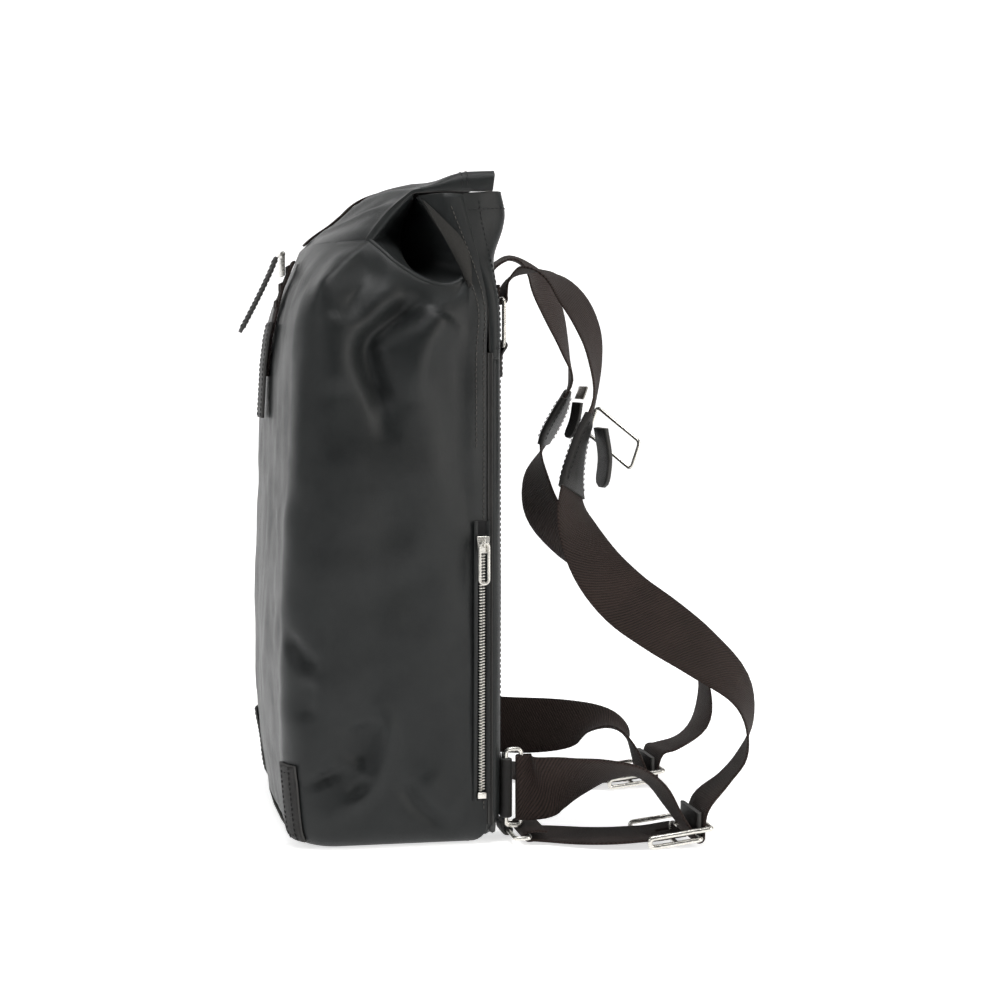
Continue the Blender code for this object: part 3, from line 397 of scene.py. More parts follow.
# %% Studio
scene = bpy.context.scene
scene.view_settings.view_transform = 'Standard'
CAMERA_AT = Vector((1.5087, -0.1852, 0.324))
CAMERA_AZIMUTH, CAMERA_DOWN = math.radians(79.12), math.radians(3.569)
LENS = 73.87


def make_camera():
    data = bpy.data.cameras.new("view")
    data.lens = LENS
    data.sensor_width = 36
    camera = bpy.data.objects.new("view", data)
    level = math.cos(CAMERA_DOWN)
    forward = Vector((-math.sin(CAMERA_AZIMUTH) * level, math.cos(CAMERA_AZIMUTH) * level,
                      -math.sin(CAMERA_DOWN)))
    camera.location = CAMERA_AT
    camera.rotation_euler = forward.to_track_quat('-Z', 'Y').to_euler()
    scene.collection.objects.link(camera)
    scene.camera = camera


def area_light(name, at, target, size, power, colour=(1, 1, 1)):
    data = bpy.data.lights.new(name, 'AREA')
    data.shape = 'RECTANGLE'
    data.size, data.size_y = size
    data.energy = power
    data.color = colour
    lamp = bpy.data.objects.new(name, data)
    lamp.location = at
    lamp.rotation_euler = (Vector(target) - Vector(at)).to_track_quat('-Z', 'Y').to_euler()
    scene.collection.objects.link(lamp)


def make_studio():
    area_light("front_left", (0.75, -1.60, 1.15), (0, 0, 0.30), (0.5, 0.9), 7)
    area_light("top", (0.35, 0.0, 1.8), (0, 0, 0.3), (0.8, 0.8), 15)
    area_light("rear_right", (1.05, 1.45, 0.75), (0, 0.1, 0.22), (0.6, 1.3), 14, (1.0, 0.97, 0.93))
    world = bpy.data.worlds.new("white_room")
    world.use_nodes = True
    world.node_tree.nodes["Background"].inputs["Color"].default_value = (1.0, 1.0, 1.0, 1.0)
    world.node_tree.nodes["Background"].inputs["Strength"].default_value = 0.10
    scene.world = world
    paper = bpy.data.materials.new("studio_paper")
    paper.use_nodes = True
    shader = paper.node_tree.nodes["Principled BSDF"]
    shader.inputs["Base Color"].default_value = (0.94, 0.94, 0.94, 1)
    shader.inputs["Roughness"].default_value = 0.8
    shader.inputs["Specular IOR Level"].default_value = 0.0
    shader.inputs["Emission Color"].default_value = (1.0, 1.0, 1.0, 1)
    shader.inputs["Emission Strength"].default_value = 0.66
    reach, behind, high = 5.0, 2.6, 4.0
    # a sheet of paper that runs back over the floor and curves up behind the bag
    line = [(reach, BASE_REST), (-behind + 0.8, BASE_REST)]
    line += [(-behind + 0.8 + x, BASE_REST + 0.8 + z) for x, z in arc((0, 0), 0.8, 265, 185, 9)]
    line += [(-behind, high)]
    points = [(x, y, z) for x, z in line for y in (-reach, reach)]
    faces = [(2 * k, 2 * k + 1, 2 * k + 3, 2 * k + 2) for k in range(len(line) - 1)]
    make("paper_sweep", points, faces, [paper], smooth_angle=60)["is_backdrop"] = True


make_camera()
make_studio()
print("camera at", [round(v, 3) for v in scene.camera.location], "lens", LENS)

# %% [markdown]
# ## Materials
# Three effects are used by more than one finish, so each is a shader node group: the pebble grain of
# leather, the ribs of woven cloth, and the fine handling wear that dulls and lightens a surface.


# %% Node helpers
def new_group(name, inputs, outputs):
    group = bpy.data.node_groups.new(name, 'ShaderNodeTree')
    for label, default in inputs:
        socket = group.interface.new_socket(label, in_out='INPUT', socket_type='NodeSocketFloat')
        socket.default_value = default
    group.interface.new_socket("Vector", in_out='INPUT', socket_type='NodeSocketVector')
    for label in outputs:
        group.interface.new_socket(label, in_out='OUTPUT', socket_type='NodeSocketFloat')
    return group, group.nodes.new('NodeGroupInput'), group.nodes.new('NodeGroupOutput')


class Graph:
    """Adds nodes to a tree in one line each."""

    def __init__(self, tree):
        self.tree = tree

    def node(self, kind, inputs=None, **settings):
        made = self.tree.nodes.new(kind)
        for key, value in settings.items():
            setattr(made, key, value)
        for key, value in (inputs or {}).items():
            self.set(made.inputs[key], value)
        return made

    def set(self, socket, value):
        if isinstance(value, bpy.types.NodeSocket):
            self.tree.links.new(value, socket)
        else:
            socket.default_value = value

    def maths(self, operation, a, b=0.0):
        return self.node('ShaderNodeMath', {0: a, 1: b}, operation=operation).outputs[0]

    def ramp(self, factor, low, high, to_low=0.0, to_high=1.0):
        return self.node('ShaderNodeMapRange', {"Value": factor, "From Min": low, "From Max": high,
                                                "To Min": to_low, "To Max": to_high}).outputs["Result"]

    def mix(self, factor, a, b):
        made = self.node('ShaderNodeMix', data_type='RGBA')
        for socket, value in ((made.inputs[0], factor), (made.inputs[6], a), (made.inputs[7], b)):
            self.set(socket, value)
        return made.outputs[2]


# %% [markdown]
# The grain is small cells with softened walls over a slow, broad crease pattern. It gives a height
# for the bump and a shade for the colour.

# %% Group: leather grain
def make_grain():
    group, source, result = new_group("leather_grain", [("Scale", 900.0), ("Crease", 60.0)],
                                      ["Height", "Shade"])
    g = Graph(group)
    cells = g.node('ShaderNodeTexVoronoi',
                   {"Vector": source.outputs["Vector"], "Scale": source.outputs["Scale"]},
                   feature='DISTANCE_TO_EDGE')
    pores = g.ramp(cells.outputs["Distance"], 0.0, 0.16)
    fine = g.node('ShaderNodeTexNoise', {"Vector": source.outputs["Vector"], "Detail": 4.0,
                                         "Scale": g.maths('MULTIPLY', source.outputs["Scale"], 0.45)})
    broad = g.node('ShaderNodeTexNoise', {"Vector": source.outputs["Vector"],
                                          "Scale": source.outputs["Crease"],
                                          "Detail": 5.0, "Roughness": 0.6})
    height = g.maths('ADD', g.maths('MULTIPLY', pores, 0.5), g.maths('MULTIPLY', fine.outputs[0], 0.5))
    g.set(result.inputs["Height"], g.maths('ADD', height, g.maths('MULTIPLY', broad.outputs[0], 0.9)))
    g.set(result.inputs["Shade"], g.ramp(broad.outputs[0], 0.3, 0.7))
    return group


# %% [markdown]
# The weave is two crossed sets of fine ribs. On a web it reads the web's own map, so that the ribs
# follow every turn of the strap. Its shade output darkens the colour in the grooves between the ribs,
# which is painted shade.

# %% Group: woven ribs
def make_weave():
    group, source, result = new_group("woven_ribs_and_groove_shade", [("Pitch", 0.0015), ("Slant", 0.6)], ["Height", "Shade"])
    g = Graph(group)
    parts = g.node('ShaderNodeSeparateXYZ', {0: source.outputs["Vector"]})
    slanted = g.maths('ADD', parts.outputs[1], g.maths('MULTIPLY', parts.outputs[0], source.outputs["Slant"]))
    turns = g.maths('DIVIDE', slanted, source.outputs["Pitch"])
    rib = g.maths('ABSOLUTE', g.maths('SINE', g.maths('MULTIPLY', turns, math.pi)))
    yarn = g.maths('DIVIDE', parts.outputs[0], g.maths('MULTIPLY', source.outputs["Pitch"], 0.62))
    cross = g.maths('ABSOLUTE', g.maths('SINE', g.maths('MULTIPLY', yarn, math.pi)))
    fuzz = g.node('ShaderNodeTexNoise', {"Vector": source.outputs["Vector"], "Scale": 2600.0, "Detail": 2.0})
    height = g.maths('ADD', rib, g.maths('MULTIPLY', g.maths('MULTIPLY', cross, rib), 0.45))
    g.set(result.inputs["Height"], g.maths('ADD', height, g.maths('MULTIPLY', fuzz.outputs[0], 0.35)))
    # the colour's shade is the rib's height: the grooves between the ribs get painted shade
    g.set(result.inputs["Shade"], g.maths('MULTIPLY', rib, g.ramp(fuzz.outputs[0], 0.2, 0.8, 0.65, 1.0)))
    return group


# %% [markdown]
# Wear is a slow mask that shifts the colour a little, and fine scratches that the metals use.

# %% Group: handling wear
def make_wear():
    group, source, result = new_group("handling_wear", [("Scale", 22.0), ("Fine", 700.0)],
                                      ["Mask", "Scratch"])
    g = Graph(group)
    cloud = g.node('ShaderNodeTexNoise', {"Vector": source.outputs["Vector"],
                                          "Scale": source.outputs["Scale"],
                                          "Detail": 6.0, "Roughness": 0.65})
    stretched = g.node('ShaderNodeMapping', {"Vector": source.outputs["Vector"], "Scale": (1.0, 0.12, 1.0)})
    lines = g.node('ShaderNodeTexNoise', {"Vector": stretched.outputs[0], "Scale": source.outputs["Fine"]})
    g.set(result.inputs["Mask"], g.ramp(cloud.outputs[0], 0.42, 0.72))
    g.set(result.inputs["Scratch"], g.ramp(lines.outputs[0], 0.35, 0.65))
    return group


GRAIN, WEAVE, WEAR = make_grain(), make_weave(), make_wear()


# %% [markdown]
# Each finish sets its constants on the shader's sockets and takes its pattern from the shared groups.

# %% Finishes
def finish(name, roughness, metallic=0.0, specular=0.5, sheen=0.0, coat=0.0):
    made = bpy.data.materials.new(name)
    made.use_nodes = True
    shader = made.node_tree.nodes["Principled BSDF"]
    shader.inputs["Roughness"].default_value = roughness
    shader.inputs["Metallic"].default_value = metallic
    shader.inputs["Specular IOR Level"].default_value = specular
    shader.inputs["Sheen Weight"].default_value = sheen
    shader.inputs["Coat Weight"].default_value = coat
    return made, shader, Graph(made.node_tree)


def placed(g, uv=False):
    return g.node('ShaderNodeTexCoord').outputs["UV" if uv else "Object"]


def use(g, group, vector, **values):
    made = g.node('ShaderNodeGroup', node_tree=group)
    g.set(made.inputs["Vector"], vector)
    for key, value in values.items():
        made.inputs[key].default_value = value
    return made


def bump(g, shader, height, distance, strength=1.0):
    made = g.node('ShaderNodeBump', {"Height": height, "Distance": distance, "Strength": strength})
    g.set(shader.inputs["Normal"], made.outputs[0])


def leather(name, dark, light, rough, scale=1000.0, crease=55.0, depth=0.00022, specular=0.5):
    made, shader, g = finish(name, rough, specular=specular)
    at = placed(g)
    grain = use(g, GRAIN, at, Scale=scale, Crease=crease)
    wear = use(g, WEAR, at)
    tone = g.mix(g.maths('MULTIPLY', grain.outputs["Shade"], 0.55), (*dark, 1), (*light, 1))
    worn = g.mix(g.maths('MULTIPLY', wear.outputs["Mask"], 0.35), tone, (*[c * 1.5 for c in light], 1))
    g.set(shader.inputs["Base Color"], worn)
    g.set(shader.inputs["Roughness"], g.ramp(wear.outputs["Mask"], 0.0, 1.0, rough - 0.05, rough + 0.07))
    bump(g, shader, grain.outputs["Height"], depth)
    return made


def cloth(name, dark, light, pitch, slant, depth, uv=True, rough=0.85, sheen=0.15):
    made, shader, g = finish(name, rough, specular=0.25, sheen=sheen)
    at = placed(g, uv)
    weave = use(g, WEAVE, at, Pitch=pitch, Slant=slant)
    wear = use(g, WEAR, placed(g))
    # dark is the painted shade in the weave's grooves, light is the colour of the rib tops
    tone = g.mix(weave.outputs["Shade"], (*dark, 1), (*light, 1))
    g.set(shader.inputs["Base Color"], g.mix(g.maths('MULTIPLY', wear.outputs["Mask"], 0.30), tone,
                                             (*[c * 1.5 for c in light], 1)))
    bump(g, shader, weave.outputs["Height"], depth)
    return made


def metal(name, base, rough):
    made, shader, g = finish(name, rough, metallic=1.0)
    wear = use(g, WEAR, placed(g), Scale=90.0, Fine=1500.0)
    g.set(shader.inputs["Base Color"], g.mix(g.maths('MULTIPLY', wear.outputs["Mask"], 0.5), (*base, 1),
                                             (*[c * 0.72 for c in base], 1)))
    g.set(shader.inputs["Roughness"], g.ramp(wear.outputs["Scratch"], 0.0, 1.0, rough - 0.06, rough + 0.10))
    bump(g, shader, wear.outputs["Scratch"], 0.00002)
    return made


def plain(name, base, rough, scale=400.0, spread=0.3, depth=0.00003):
    made, shader, g = finish(name, rough, specular=0.3)
    speck = g.node('ShaderNodeTexNoise', {"Vector": placed(g), "Scale": scale, "Detail": 4.0})
    g.set(shader.inputs["Base Color"], g.mix(speck.outputs[0], (*[c * (1 - spread) for c in base], 1),
                                             (*[c * (1 + spread) for c in base], 1)))
    bump(g, shader, speck.outputs[0], depth)
    return made


BAG = leather("bag_leather", (0.0080, 0.0093, 0.0097), (0.0150, 0.0170, 0.0170), 0.43,
              1300.0, 38.0, 0.00008, 0.30)
SUEDE = plain("leather_flesh_side", (0.030, 0.029, 0.027), 0.95, 900.0)
TRIM = leather("trim_leather", (0.0070, 0.0066, 0.0063), (0.0160, 0.0146, 0.0135), 0.55,
               1100.0, 90.0, 0.00018, 0.30)
CUT = plain("cut_edge_paint", (0.055, 0.054, 0.052), 0.70, 900.0)
# each cloth's first colour is the painted shade in the grooves of its weave
WEBBING = cloth("brown_black_webbing", (0.0050, 0.0030, 0.0025), (0.0360, 0.0225, 0.0185),
                0.0021, 0.60, 0.00040, sheen=0.04)
TAPE = cloth("zip_tape_weave", (0.004, 0.004, 0.0045), (0.016, 0.016, 0.017), 0.0008, 0.0, 0.00010)
COTTON = cloth("lining_twill", (0.050, 0.050, 0.050), (0.120, 0.120, 0.118), 0.0010, 1.0, 0.00010, uv=False)
NICKEL = metal("satin_nickel", (0.74, 0.72, 0.67), 0.27)
THREAD = plain("black_thread", (0.020, 0.020, 0.021), 0.65, 2500.0)
PALE_THREAD = plain("grey_thread", (0.085, 0.080, 0.074), 0.70, 2500.0)
BOARD = plain("fibre_board", (0.045, 0.042, 0.038), 0.90, 250.0)
FOAM = plain("faced_foam", (0.090, 0.090, 0.090), 0.95, 700.0)
print(len(bpy.data.materials), "materials,", len(bpy.data.node_groups), "shared groups")

# %% [markdown]
# ## Geometry Nodes: stitches along a line
# Thread shows as a row of short rounded beads. A tree turns a line of points into a curve, resamples
# it at the stitch pitch, sets one bead on each point along the line, and ends as real mesh.


# %% Stitch tree
def stitch_tree():
    tree = bpy.data.node_groups.new("stitch_row", 'GeometryNodeTree')
    face = tree.interface
    face.new_socket("Geometry", in_out='INPUT', socket_type='NodeSocketGeometry')
    sizes = {}
    for label, default in (("Pitch", 0.0036), ("Length", 0.0026), ("Thickness", 0.0007)):
        socket = face.new_socket(label, in_out='INPUT', socket_type='NodeSocketFloat')
        socket.default_value = default
        sizes[label] = socket.identifier
    socket = face.new_socket("Thread", in_out='INPUT', socket_type='NodeSocketMaterial')
    sizes["Thread"] = socket.identifier
    face.new_socket("Geometry", in_out='OUTPUT', socket_type='NodeSocketGeometry')
    g = Graph(tree)
    source, result = tree.nodes.new('NodeGroupInput'), tree.nodes.new('NodeGroupOutput')
    curve = g.node('GeometryNodeMeshToCurve', {"Mesh": source.outputs["Geometry"]})
    spaced = g.node('GeometryNodeResampleCurve',
                    {"Curve": curve.outputs[0], "Length": source.outputs["Pitch"]},
                    mode='LENGTH')
    bead = g.node('GeometryNodeMeshUVSphere', {"Segments": 6, "Rings": 5, "Radius": 0.5})
    along = g.node('FunctionNodeAlignRotationToVector',
                   {"Vector": g.node('GeometryNodeInputTangent').outputs[0]},
                   axis='Z')
    size = g.node('ShaderNodeCombineXYZ', {0: source.outputs["Thickness"], 1: source.outputs["Thickness"],
                                           2: source.outputs["Length"]})
    rows = g.node('GeometryNodeInstanceOnPoints', {"Points": spaced.outputs[0],
                                                   "Instance": bead.outputs["Mesh"],
                                                   "Rotation": along.outputs[0], "Scale": size.outputs[0]})
    real = g.node('GeometryNodeRealizeInstances', {0: rows.outputs[0]})
    smooth = g.node('GeometryNodeSetShadeSmooth', {0: real.outputs[0]})
    painted = g.node('GeometryNodeSetMaterial',
                     {"Geometry": smooth.outputs[0], "Material": source.outputs["Thread"]})
    tree.links.new(painted.outputs[0], result.inputs[0])
    return tree, sizes


STITCH, STITCH_SIZES = stitch_tree()


def run_tree(name, lines, tree, ids, values):
    """Runs a Geometry Nodes tree on open lines of points and keeps only the mesh that it makes."""
    points, edges = [], []
    for line in lines:
        edges += [(len(points) + k, len(points) + k + 1) for k in range(len(line) - 1)]
        points += [tuple(float(c) for c in p[:3]) for p in line]
    mesh = bpy.data.meshes.new(name + "_path")
    mesh.from_pydata(points, edges, [])
    body = bpy.data.objects.new(name, mesh)
    scene.collection.objects.link(body)
    nodes = body.modifiers.new("rows", 'NODES')
    nodes.node_group = tree
    for label, value in values.items():
        nodes[ids[label]] = value
    bpy.context.view_layer.update()
    made = bpy.data.meshes.new_from_object(body.evaluated_get(bpy.context.evaluated_depsgraph_get()))
    body.modifiers.clear()
    body.data = made
    return body


def stitches(name, lines, rides_on, thread=THREAD, pitch=0.0036, length=0.0027, thickness=0.0007):
    body = run_tree(name, lines, STITCH, STITCH_SIZES,
                    {"Pitch": pitch, "Length": length, "Thickness": thickness, "Thread": thread})
    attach(body, rides_on)
    return body


# %% [markdown]
# ## The leather wrap
# One hide goes from the right side seam round the front to the left side seam. Each column of its
# grid starts under the base, follows the bag's section up to the shoulder, and then runs on to its
# own point of the top edge: the rim at the back, the lip of the tucked side, or the front fold.


# %% The bag's section
# height and depth of the front's middle, from the floor to the fold
FRONT_LINE = np.array([(0.0, -0.0655), (0.049, -0.0715), (0.076, -0.0736), (0.122, -0.0752),
                       (0.1855, -0.0728), (0.222, -0.0710), (0.288, -0.0690), (0.330, -0.0665),
                       (0.348, -0.0642), (0.366, -0.0603), (0.384, -0.0557), (0.402, -0.0481),
                       (0.4132, -0.0420)])
FRONT_CROWN = 0.004


def front_y(z):
    return np.interp(z, FRONT_LINE[:, 0], FRONT_LINE[:, 1]) + FRONT_CROWN


def bulge(z):
    return math.sin(math.pi * min(max(z / BODY_HEIGHT, 0), 1) * 0.80)


def side_x(z, share):
    swell = math.sin(math.pi / 2 * min(max(share, 0.0) / SWELL_BY, 1.0))
    return SEAM_X + SIDE_BULGE * bulge(z) * swell


def side_at(y, z):
    """How far out the side stands at a depth y and a height z."""
    run = SHELL_BACK - front_y(z) - CORNER
    return side_x(z, (SHELL_BACK - y) / run)


def section_point(column, z):
    """Point of the bag's section at a height. A column is ('side', share), ('turn', angle) or
    ('front', share from the corner to the middle)."""
    kind, value = column
    foot = FOOT - math.sqrt(max(FOOT ** 2 - max(FOOT - z, 0.0) ** 2, 0.0))
    front = front_y(z)
    half = side_x(z, 1.0)
    if kind == 'side':
        x, y = side_x(z, value), SHELL_BACK - 0.002 - (SHELL_BACK - 0.002 - front - CORNER) * value
        return (x - foot, y - foot * max(1 - value / 0.12, 0.0), z)
    if kind == 'turn':
        a, r = math.radians(value), CORNER - foot
        return (half - CORNER + r * math.cos(a), front + CORNER - r * math.sin(a), z)
    x = (half - CORNER) * (1 - value)
    crown = FRONT_CROWN * (1 - (1 - value) ** 2)
    return (x, front - crown + foot, z)


# %% [markdown]
# The wrap's top edge is a chain of named lines: the rim at the back seam, the ridge behind the tuck,
# the lip round the hollow at the side, and the fold across the front.

# %% The top edge of the wrap, right side
RIM = [(0.1215, 0.0555, 0.4450), (0.1235, 0.0420, 0.4452), (0.1190, 0.0252, 0.4434)]
BACK_RIDGE = [RIM[-1], (0.1230, 0.0345, 0.4345), (0.1265, 0.0430, 0.4255), (0.1295, 0.0520, 0.4150),
              (0.1315, 0.0578, 0.4010)]
SIDE_LIP = [BACK_RIDGE[-1], (0.1345, 0.0560, 0.3900), (0.1385, 0.0490, 0.3838), (0.1405, 0.0400, 0.3818),
            (0.1405, 0.0250, 0.3858), (0.1350, 0.0080, 0.3970), (0.1290, 0.0000, 0.4050),
             (0.1220, -0.0087, 0.4132)]
FOLD_Z = SIDE_LIP[-1][2]


def fold_line(share):
    """The front fold, where the mouth hinges: from the end of the side lip, 0, to the middle, 1."""
    x0, y0 = SIDE_LIP[-1][0], SIDE_LIP[-1][1]
    middle = FRONT_LINE[-1, 1]
    across = 1 - share
    return np.array([x0 * across, middle + (y0 - middle) * across ** 3.2, FOLD_Z])


STRIP_COLUMNS, RIDGE_COLUMNS, LIP_COLUMNS, TURN_COLUMNS, FRONT_COLUMNS = 8, 11, 44, 24, 40
STRIP_SHARE = 0.14


def wrap_columns():
    """Columns of the right half with the point of the top edge where each one ends."""
    strip = STRIP_COLUMNS + RIDGE_COLUMNS
    kinds = [('side', STRIP_SHARE * k / strip) for k in range(strip)]
    kinds += [('side', STRIP_SHARE + (1 - STRIP_SHARE) * k / LIP_COLUMNS) for k in range(LIP_COLUMNS)]
    kinds += [('turn', 90 * k / TURN_COLUMNS) for k in range(TURN_COLUMNS)]
    kinds += [('front', k / FRONT_COLUMNS) for k in range(FRONT_COLUMNS + 1)]
    half_turn = TURN_COLUMNS // 2
    ends = list(smooth_line(RIM, STRIP_COLUMNS + 1)[:-1])
    ends += list(smooth_line(BACK_RIDGE, RIDGE_COLUMNS + 1)[:-1])
    ends += list(smooth_line(SIDE_LIP, LIP_COLUMNS + half_turn + 1)[:-1])
    rest = len(kinds) - len(ends)
    ends += [fold_line((k / (rest - 1)) ** 0.85) for k in range(rest)]
    return kinds, np.array(ends)


ROWS = 128
LOW_LEVELS = (0.0, 0.0010, 0.0030, 0.0060, 0.0095, 0.0135)
HIGH_SHARES = (0.09, 0.16, 0.26, 0.37, 0.49, 0.61, 0.72, 0.82, 0.91, 1.0)


def wrap_half():
    kinds, ends = wrap_columns()
    columns = []
    for kind, end in zip(kinds, ends):
        top = min(end[2] - 0.030, 0.372)
        levels = list(LOW_LEVELS) + [share * top for share in HIGH_SHARES]
        stations = [section_point(kind, z) for z in levels] + [tuple(end)]
        columns.append(smooth_line(stations, ROWS))
    return np.array(columns).transpose(1, 0, 2), kinds


# %% [markdown]
# ## Creases and swellings
# Soft leather keeps the marks of how it was packed. Each mark is a stroke: a line on the side of the
# bag, a width and a height, and the leather moves along its own normal by a soft bell shape.


# %% Strokes
def stroke(y, z, line, width, height):
    """Height of one mark at every (y, z): a bell across the line that fades towards its two ends."""
    line = spline(np.array(line, float), 6)
    best, share = np.full(y.shape, 1e9), np.zeros(y.shape)
    for k in range(len(line) - 1):
        a, d = line[k], line[k + 1] - line[k]
        t = np.clip(((y - a[0]) * d[0] + (z - a[1]) * d[1]) / max(float(d @ d), 1e-12), 0, 1)
        gap = np.hypot(y - a[0] - t * d[0], z - a[1] - t * d[1])
        share = np.where(gap < best, (k + t) / (len(line) - 1), share)
        best = np.minimum(gap, best)
    ends = smoothstep(share / 0.25) * smoothstep((1 - share) / 0.25) * 0.75 + 0.25
    return height * np.exp(-(best / width) ** 2) * ends


NEAR_MARKS = [
    ([(-0.0467, 0.3700), (-0.0358, 0.3908), (-0.0223, 0.4050), (-0.0100, 0.4130)], 0.0060, 0.0060),
    ([(-0.0310, 0.3560), (-0.0200, 0.3780), (-0.0060, 0.3960), (0.0040, 0.3990)], 0.0110, -0.0060),
    ([(0.0155, 0.3827), (0.0155, 0.3700), (0.0013, 0.3573), (-0.0129, 0.3420), (-0.0109, 0.3253),
      (-0.0043, 0.3060), (-0.0030, 0.2873)], 0.0085, -0.0110),
    ([(0.0380, 0.3640), (0.0353, 0.3590), (0.0251, 0.3450), (0.0183, 0.3250), (0.0183, 0.3000)],
     0.0130, 0.0068),
    ([(-0.0300, 0.3650), (-0.0360, 0.3400), (-0.0320, 0.3050)], 0.0150, 0.0055),
    ([(0.0500, 0.3500), (0.0480, 0.2900), (0.0500, 0.2300)], 0.0110, -0.0025),
    ([(-0.0400, 0.2900), (-0.0300, 0.2300), (-0.0350, 0.1700)], 0.0240, 0.0030),
    ([(0.0100, 0.2600), (0.0150, 0.2000), (0.0050, 0.1400)], 0.0260, -0.0030),
    ([(-0.0711, 0.1488), (-0.0599, 0.1358), (-0.0486, 0.1248)], 0.0055, -0.0042),
    ([(-0.0526, 0.1189), (-0.0560, 0.1030), (-0.0548, 0.0886)], 0.0070, -0.0038),
    ([(-0.0041, 0.0989), (-0.0007, 0.0804), (-0.0069, 0.0561), (-0.0165, 0.0388), (-0.0382, 0.0233)],
     0.0075, 0.0050),
    ([(-0.0190, 0.0900), (-0.0160, 0.0720), (-0.0230, 0.0560)], 0.0120, -0.0055),
    ([(0.0119, 0.0480), (0.0180, 0.0327), (0.0427, 0.0110)], 0.0060, -0.0042),
    ([(0.0250, 0.0520), (0.0330, 0.0380), (0.0540, 0.0200)], 0.0090, 0.0030),
    ([(-0.0448, 0.0550), (-0.0410, 0.0460)], 0.0110, -0.0045),
    ([(-0.0220, 0.0470), (-0.0170, 0.0400)], 0.0085, -0.0045),
]
FAR_MARKS = [
    ([(-0.0420, 0.3800), (-0.0280, 0.3960), (-0.0130, 0.4110)], 0.0065, 0.0040),
    ([(0.0200, 0.3800), (0.0080, 0.3600), (0.0000, 0.3350), (0.0060, 0.3050)], 0.0100, -0.0075),
    ([(-0.0320, 0.3600), (-0.0380, 0.3250), (-0.0300, 0.2900)], 0.0150, 0.0050),
    ([(0.0420, 0.3600), (0.0350, 0.3200), (0.0400, 0.2700)], 0.0130, 0.0045),
    ([(-0.0640, 0.1600), (-0.0500, 0.1400), (-0.0400, 0.1320)], 0.0060, -0.0038),
    ([(0.0050, 0.1200), (0.0000, 0.0900), (-0.0110, 0.0640), (-0.0280, 0.0420)], 0.0085, 0.0045),
    ([(0.0250, 0.0600), (0.0320, 0.0400), (0.0480, 0.0200)], 0.0070, -0.0040),
    ([(-0.0350, 0.0600), (-0.0300, 0.0450)], 0.0110, -0.0042),
]


def cloud(points, scale, seed):
    """Slow smooth noise, one value for each point."""
    shift = Vector((seed, seed * 2.7, seed * 5.1))
    return np.array([noise.noise(Vector(p) * scale + shift)
                     for p in points.reshape(-1, 3)]).reshape(points.shape[:2])


def crease(grid, marks, outward_sign, seed):
    """Moves a half of the wrap along its normals by its marks and by a slow sag."""
    normals = grid_normals(grid) * outward_sign
    side_on = smoothstep((np.abs(normals[..., 0]) - 0.15) / 0.5)
    height = sum(stroke(grid[..., 1], grid[..., 2], *mark) for mark in marks) * side_on
    height = height + 0.0022 * cloud(grid, 14.0, seed) + 0.0010 * cloud(grid, 42.0, seed + 3)
    held = smoothstep(grid[..., 2] / 0.012)
    rows = np.linspace(0, 1, grid.shape[0])[:, None]
    columns = np.arange(grid.shape[1])[None]
    held = held * smoothstep((1 - rows) / 0.05) * smoothstep(columns / (STRIP_COLUMNS + RIDGE_COLUMNS + 4.0))
    return grid + normals * (height * held)[..., None]


# %% [markdown]
# The two halves are made, creased and pulled together at the middle of the front, then become one
# wall of leather with a cut edge and a rough inner side.

# %% Build the wrap
def wrap_grids():
    right, kinds = wrap_half()
    left = right.copy()
    left[..., 0] *= -1
    right = crease(right, NEAR_MARKS, WRAP_SIGN, 1.0)
    left = crease(left, FAR_MARKS, -WRAP_SIGN, 9.0)
    middle = (right[:, -1:] + left[:, -1:]) / 2
    middle[..., 0] = 0.0
    soft = 12
    for half in (right, left):
        pull = smoothstep(np.linspace(0, 1, soft))[None, :, None]
        step = middle - half[:, -1:]
        half[:, -soft:] += step * pull
    return np.concatenate([right[:, :-1], middle, left[:, :-1][:, ::-1]], axis=1)


WRAP_SIGN = 1.0
probe, _ = wrap_half()
if grid_normals(probe)[ROWS // 2, 30, 0] < 0:
    WRAP_SIGN = -1.0
WRAP = wrap_grids()
wrap = wall("leather_wrap", WRAP, LEATHER, [BAG, CUT, SUEDE], WRAP_SIGN, 60)
settle(wrap, "bag", "bag_leather", "main_shell")
print("wrap grid", WRAP.shape, "sign", WRAP_SIGN)

# %% [markdown]
# ## The front of the mouth
# Above the fold the front wall leans back over the bag and ends in a double hem. Its side edges
# turn down a little, as a stiff hem does.

# %% Front wall and flap
MOUTH_MIDDLE = [(0, -0.0420, 0.4132), (0, -0.0360, 0.4190), (0, -0.0305, 0.4230), (0, -0.0215, 0.4288),
                (0, -0.0126, 0.4361), (0, -0.0037, 0.4448), (0, 0.0052, 0.4498), (0, 0.0141, 0.4528),
                (0, 0.0300, 0.4550), (0, 0.0500, 0.4572), (0, 0.0640, 0.4588), (0, 0.0780, 0.4594)]
MOUTH_SHOULDER = [(0.1150, -0.0110, 0.4136), (0.1160, -0.0040, 0.4230), (0.1160, 0.0040, 0.4328),
                  (0.1160, 0.0130, 0.4412), (0.1165, 0.0233, 0.4480), (0.1170, 0.0316, 0.4509),
                  (0.1175, 0.0398, 0.4543), (0.1180, 0.0480, 0.4577), (0.1180, 0.0563, 0.4599),
                  (0.1180, 0.0661, 0.4606), (0.1180, 0.0780, 0.4612)]
MOUTH_EDGE = [(0.1220, -0.0087, 0.4132), (0.1218, -0.0013, 0.4230), (0.1212, 0.0076, 0.4335),
              (0.1208, 0.0150, 0.4400), (0.1208, 0.0215, 0.4450), (0.1212, 0.0300, 0.4462),
              (0.1218, 0.0420, 0.4468), (0.1222, 0.0530, 0.4472), (0.1222, 0.0661, 0.4474),
               (0.1215, 0.0765, 0.4478)]
FLAP_ROWS, FLAP_COLUMNS = 84, 56


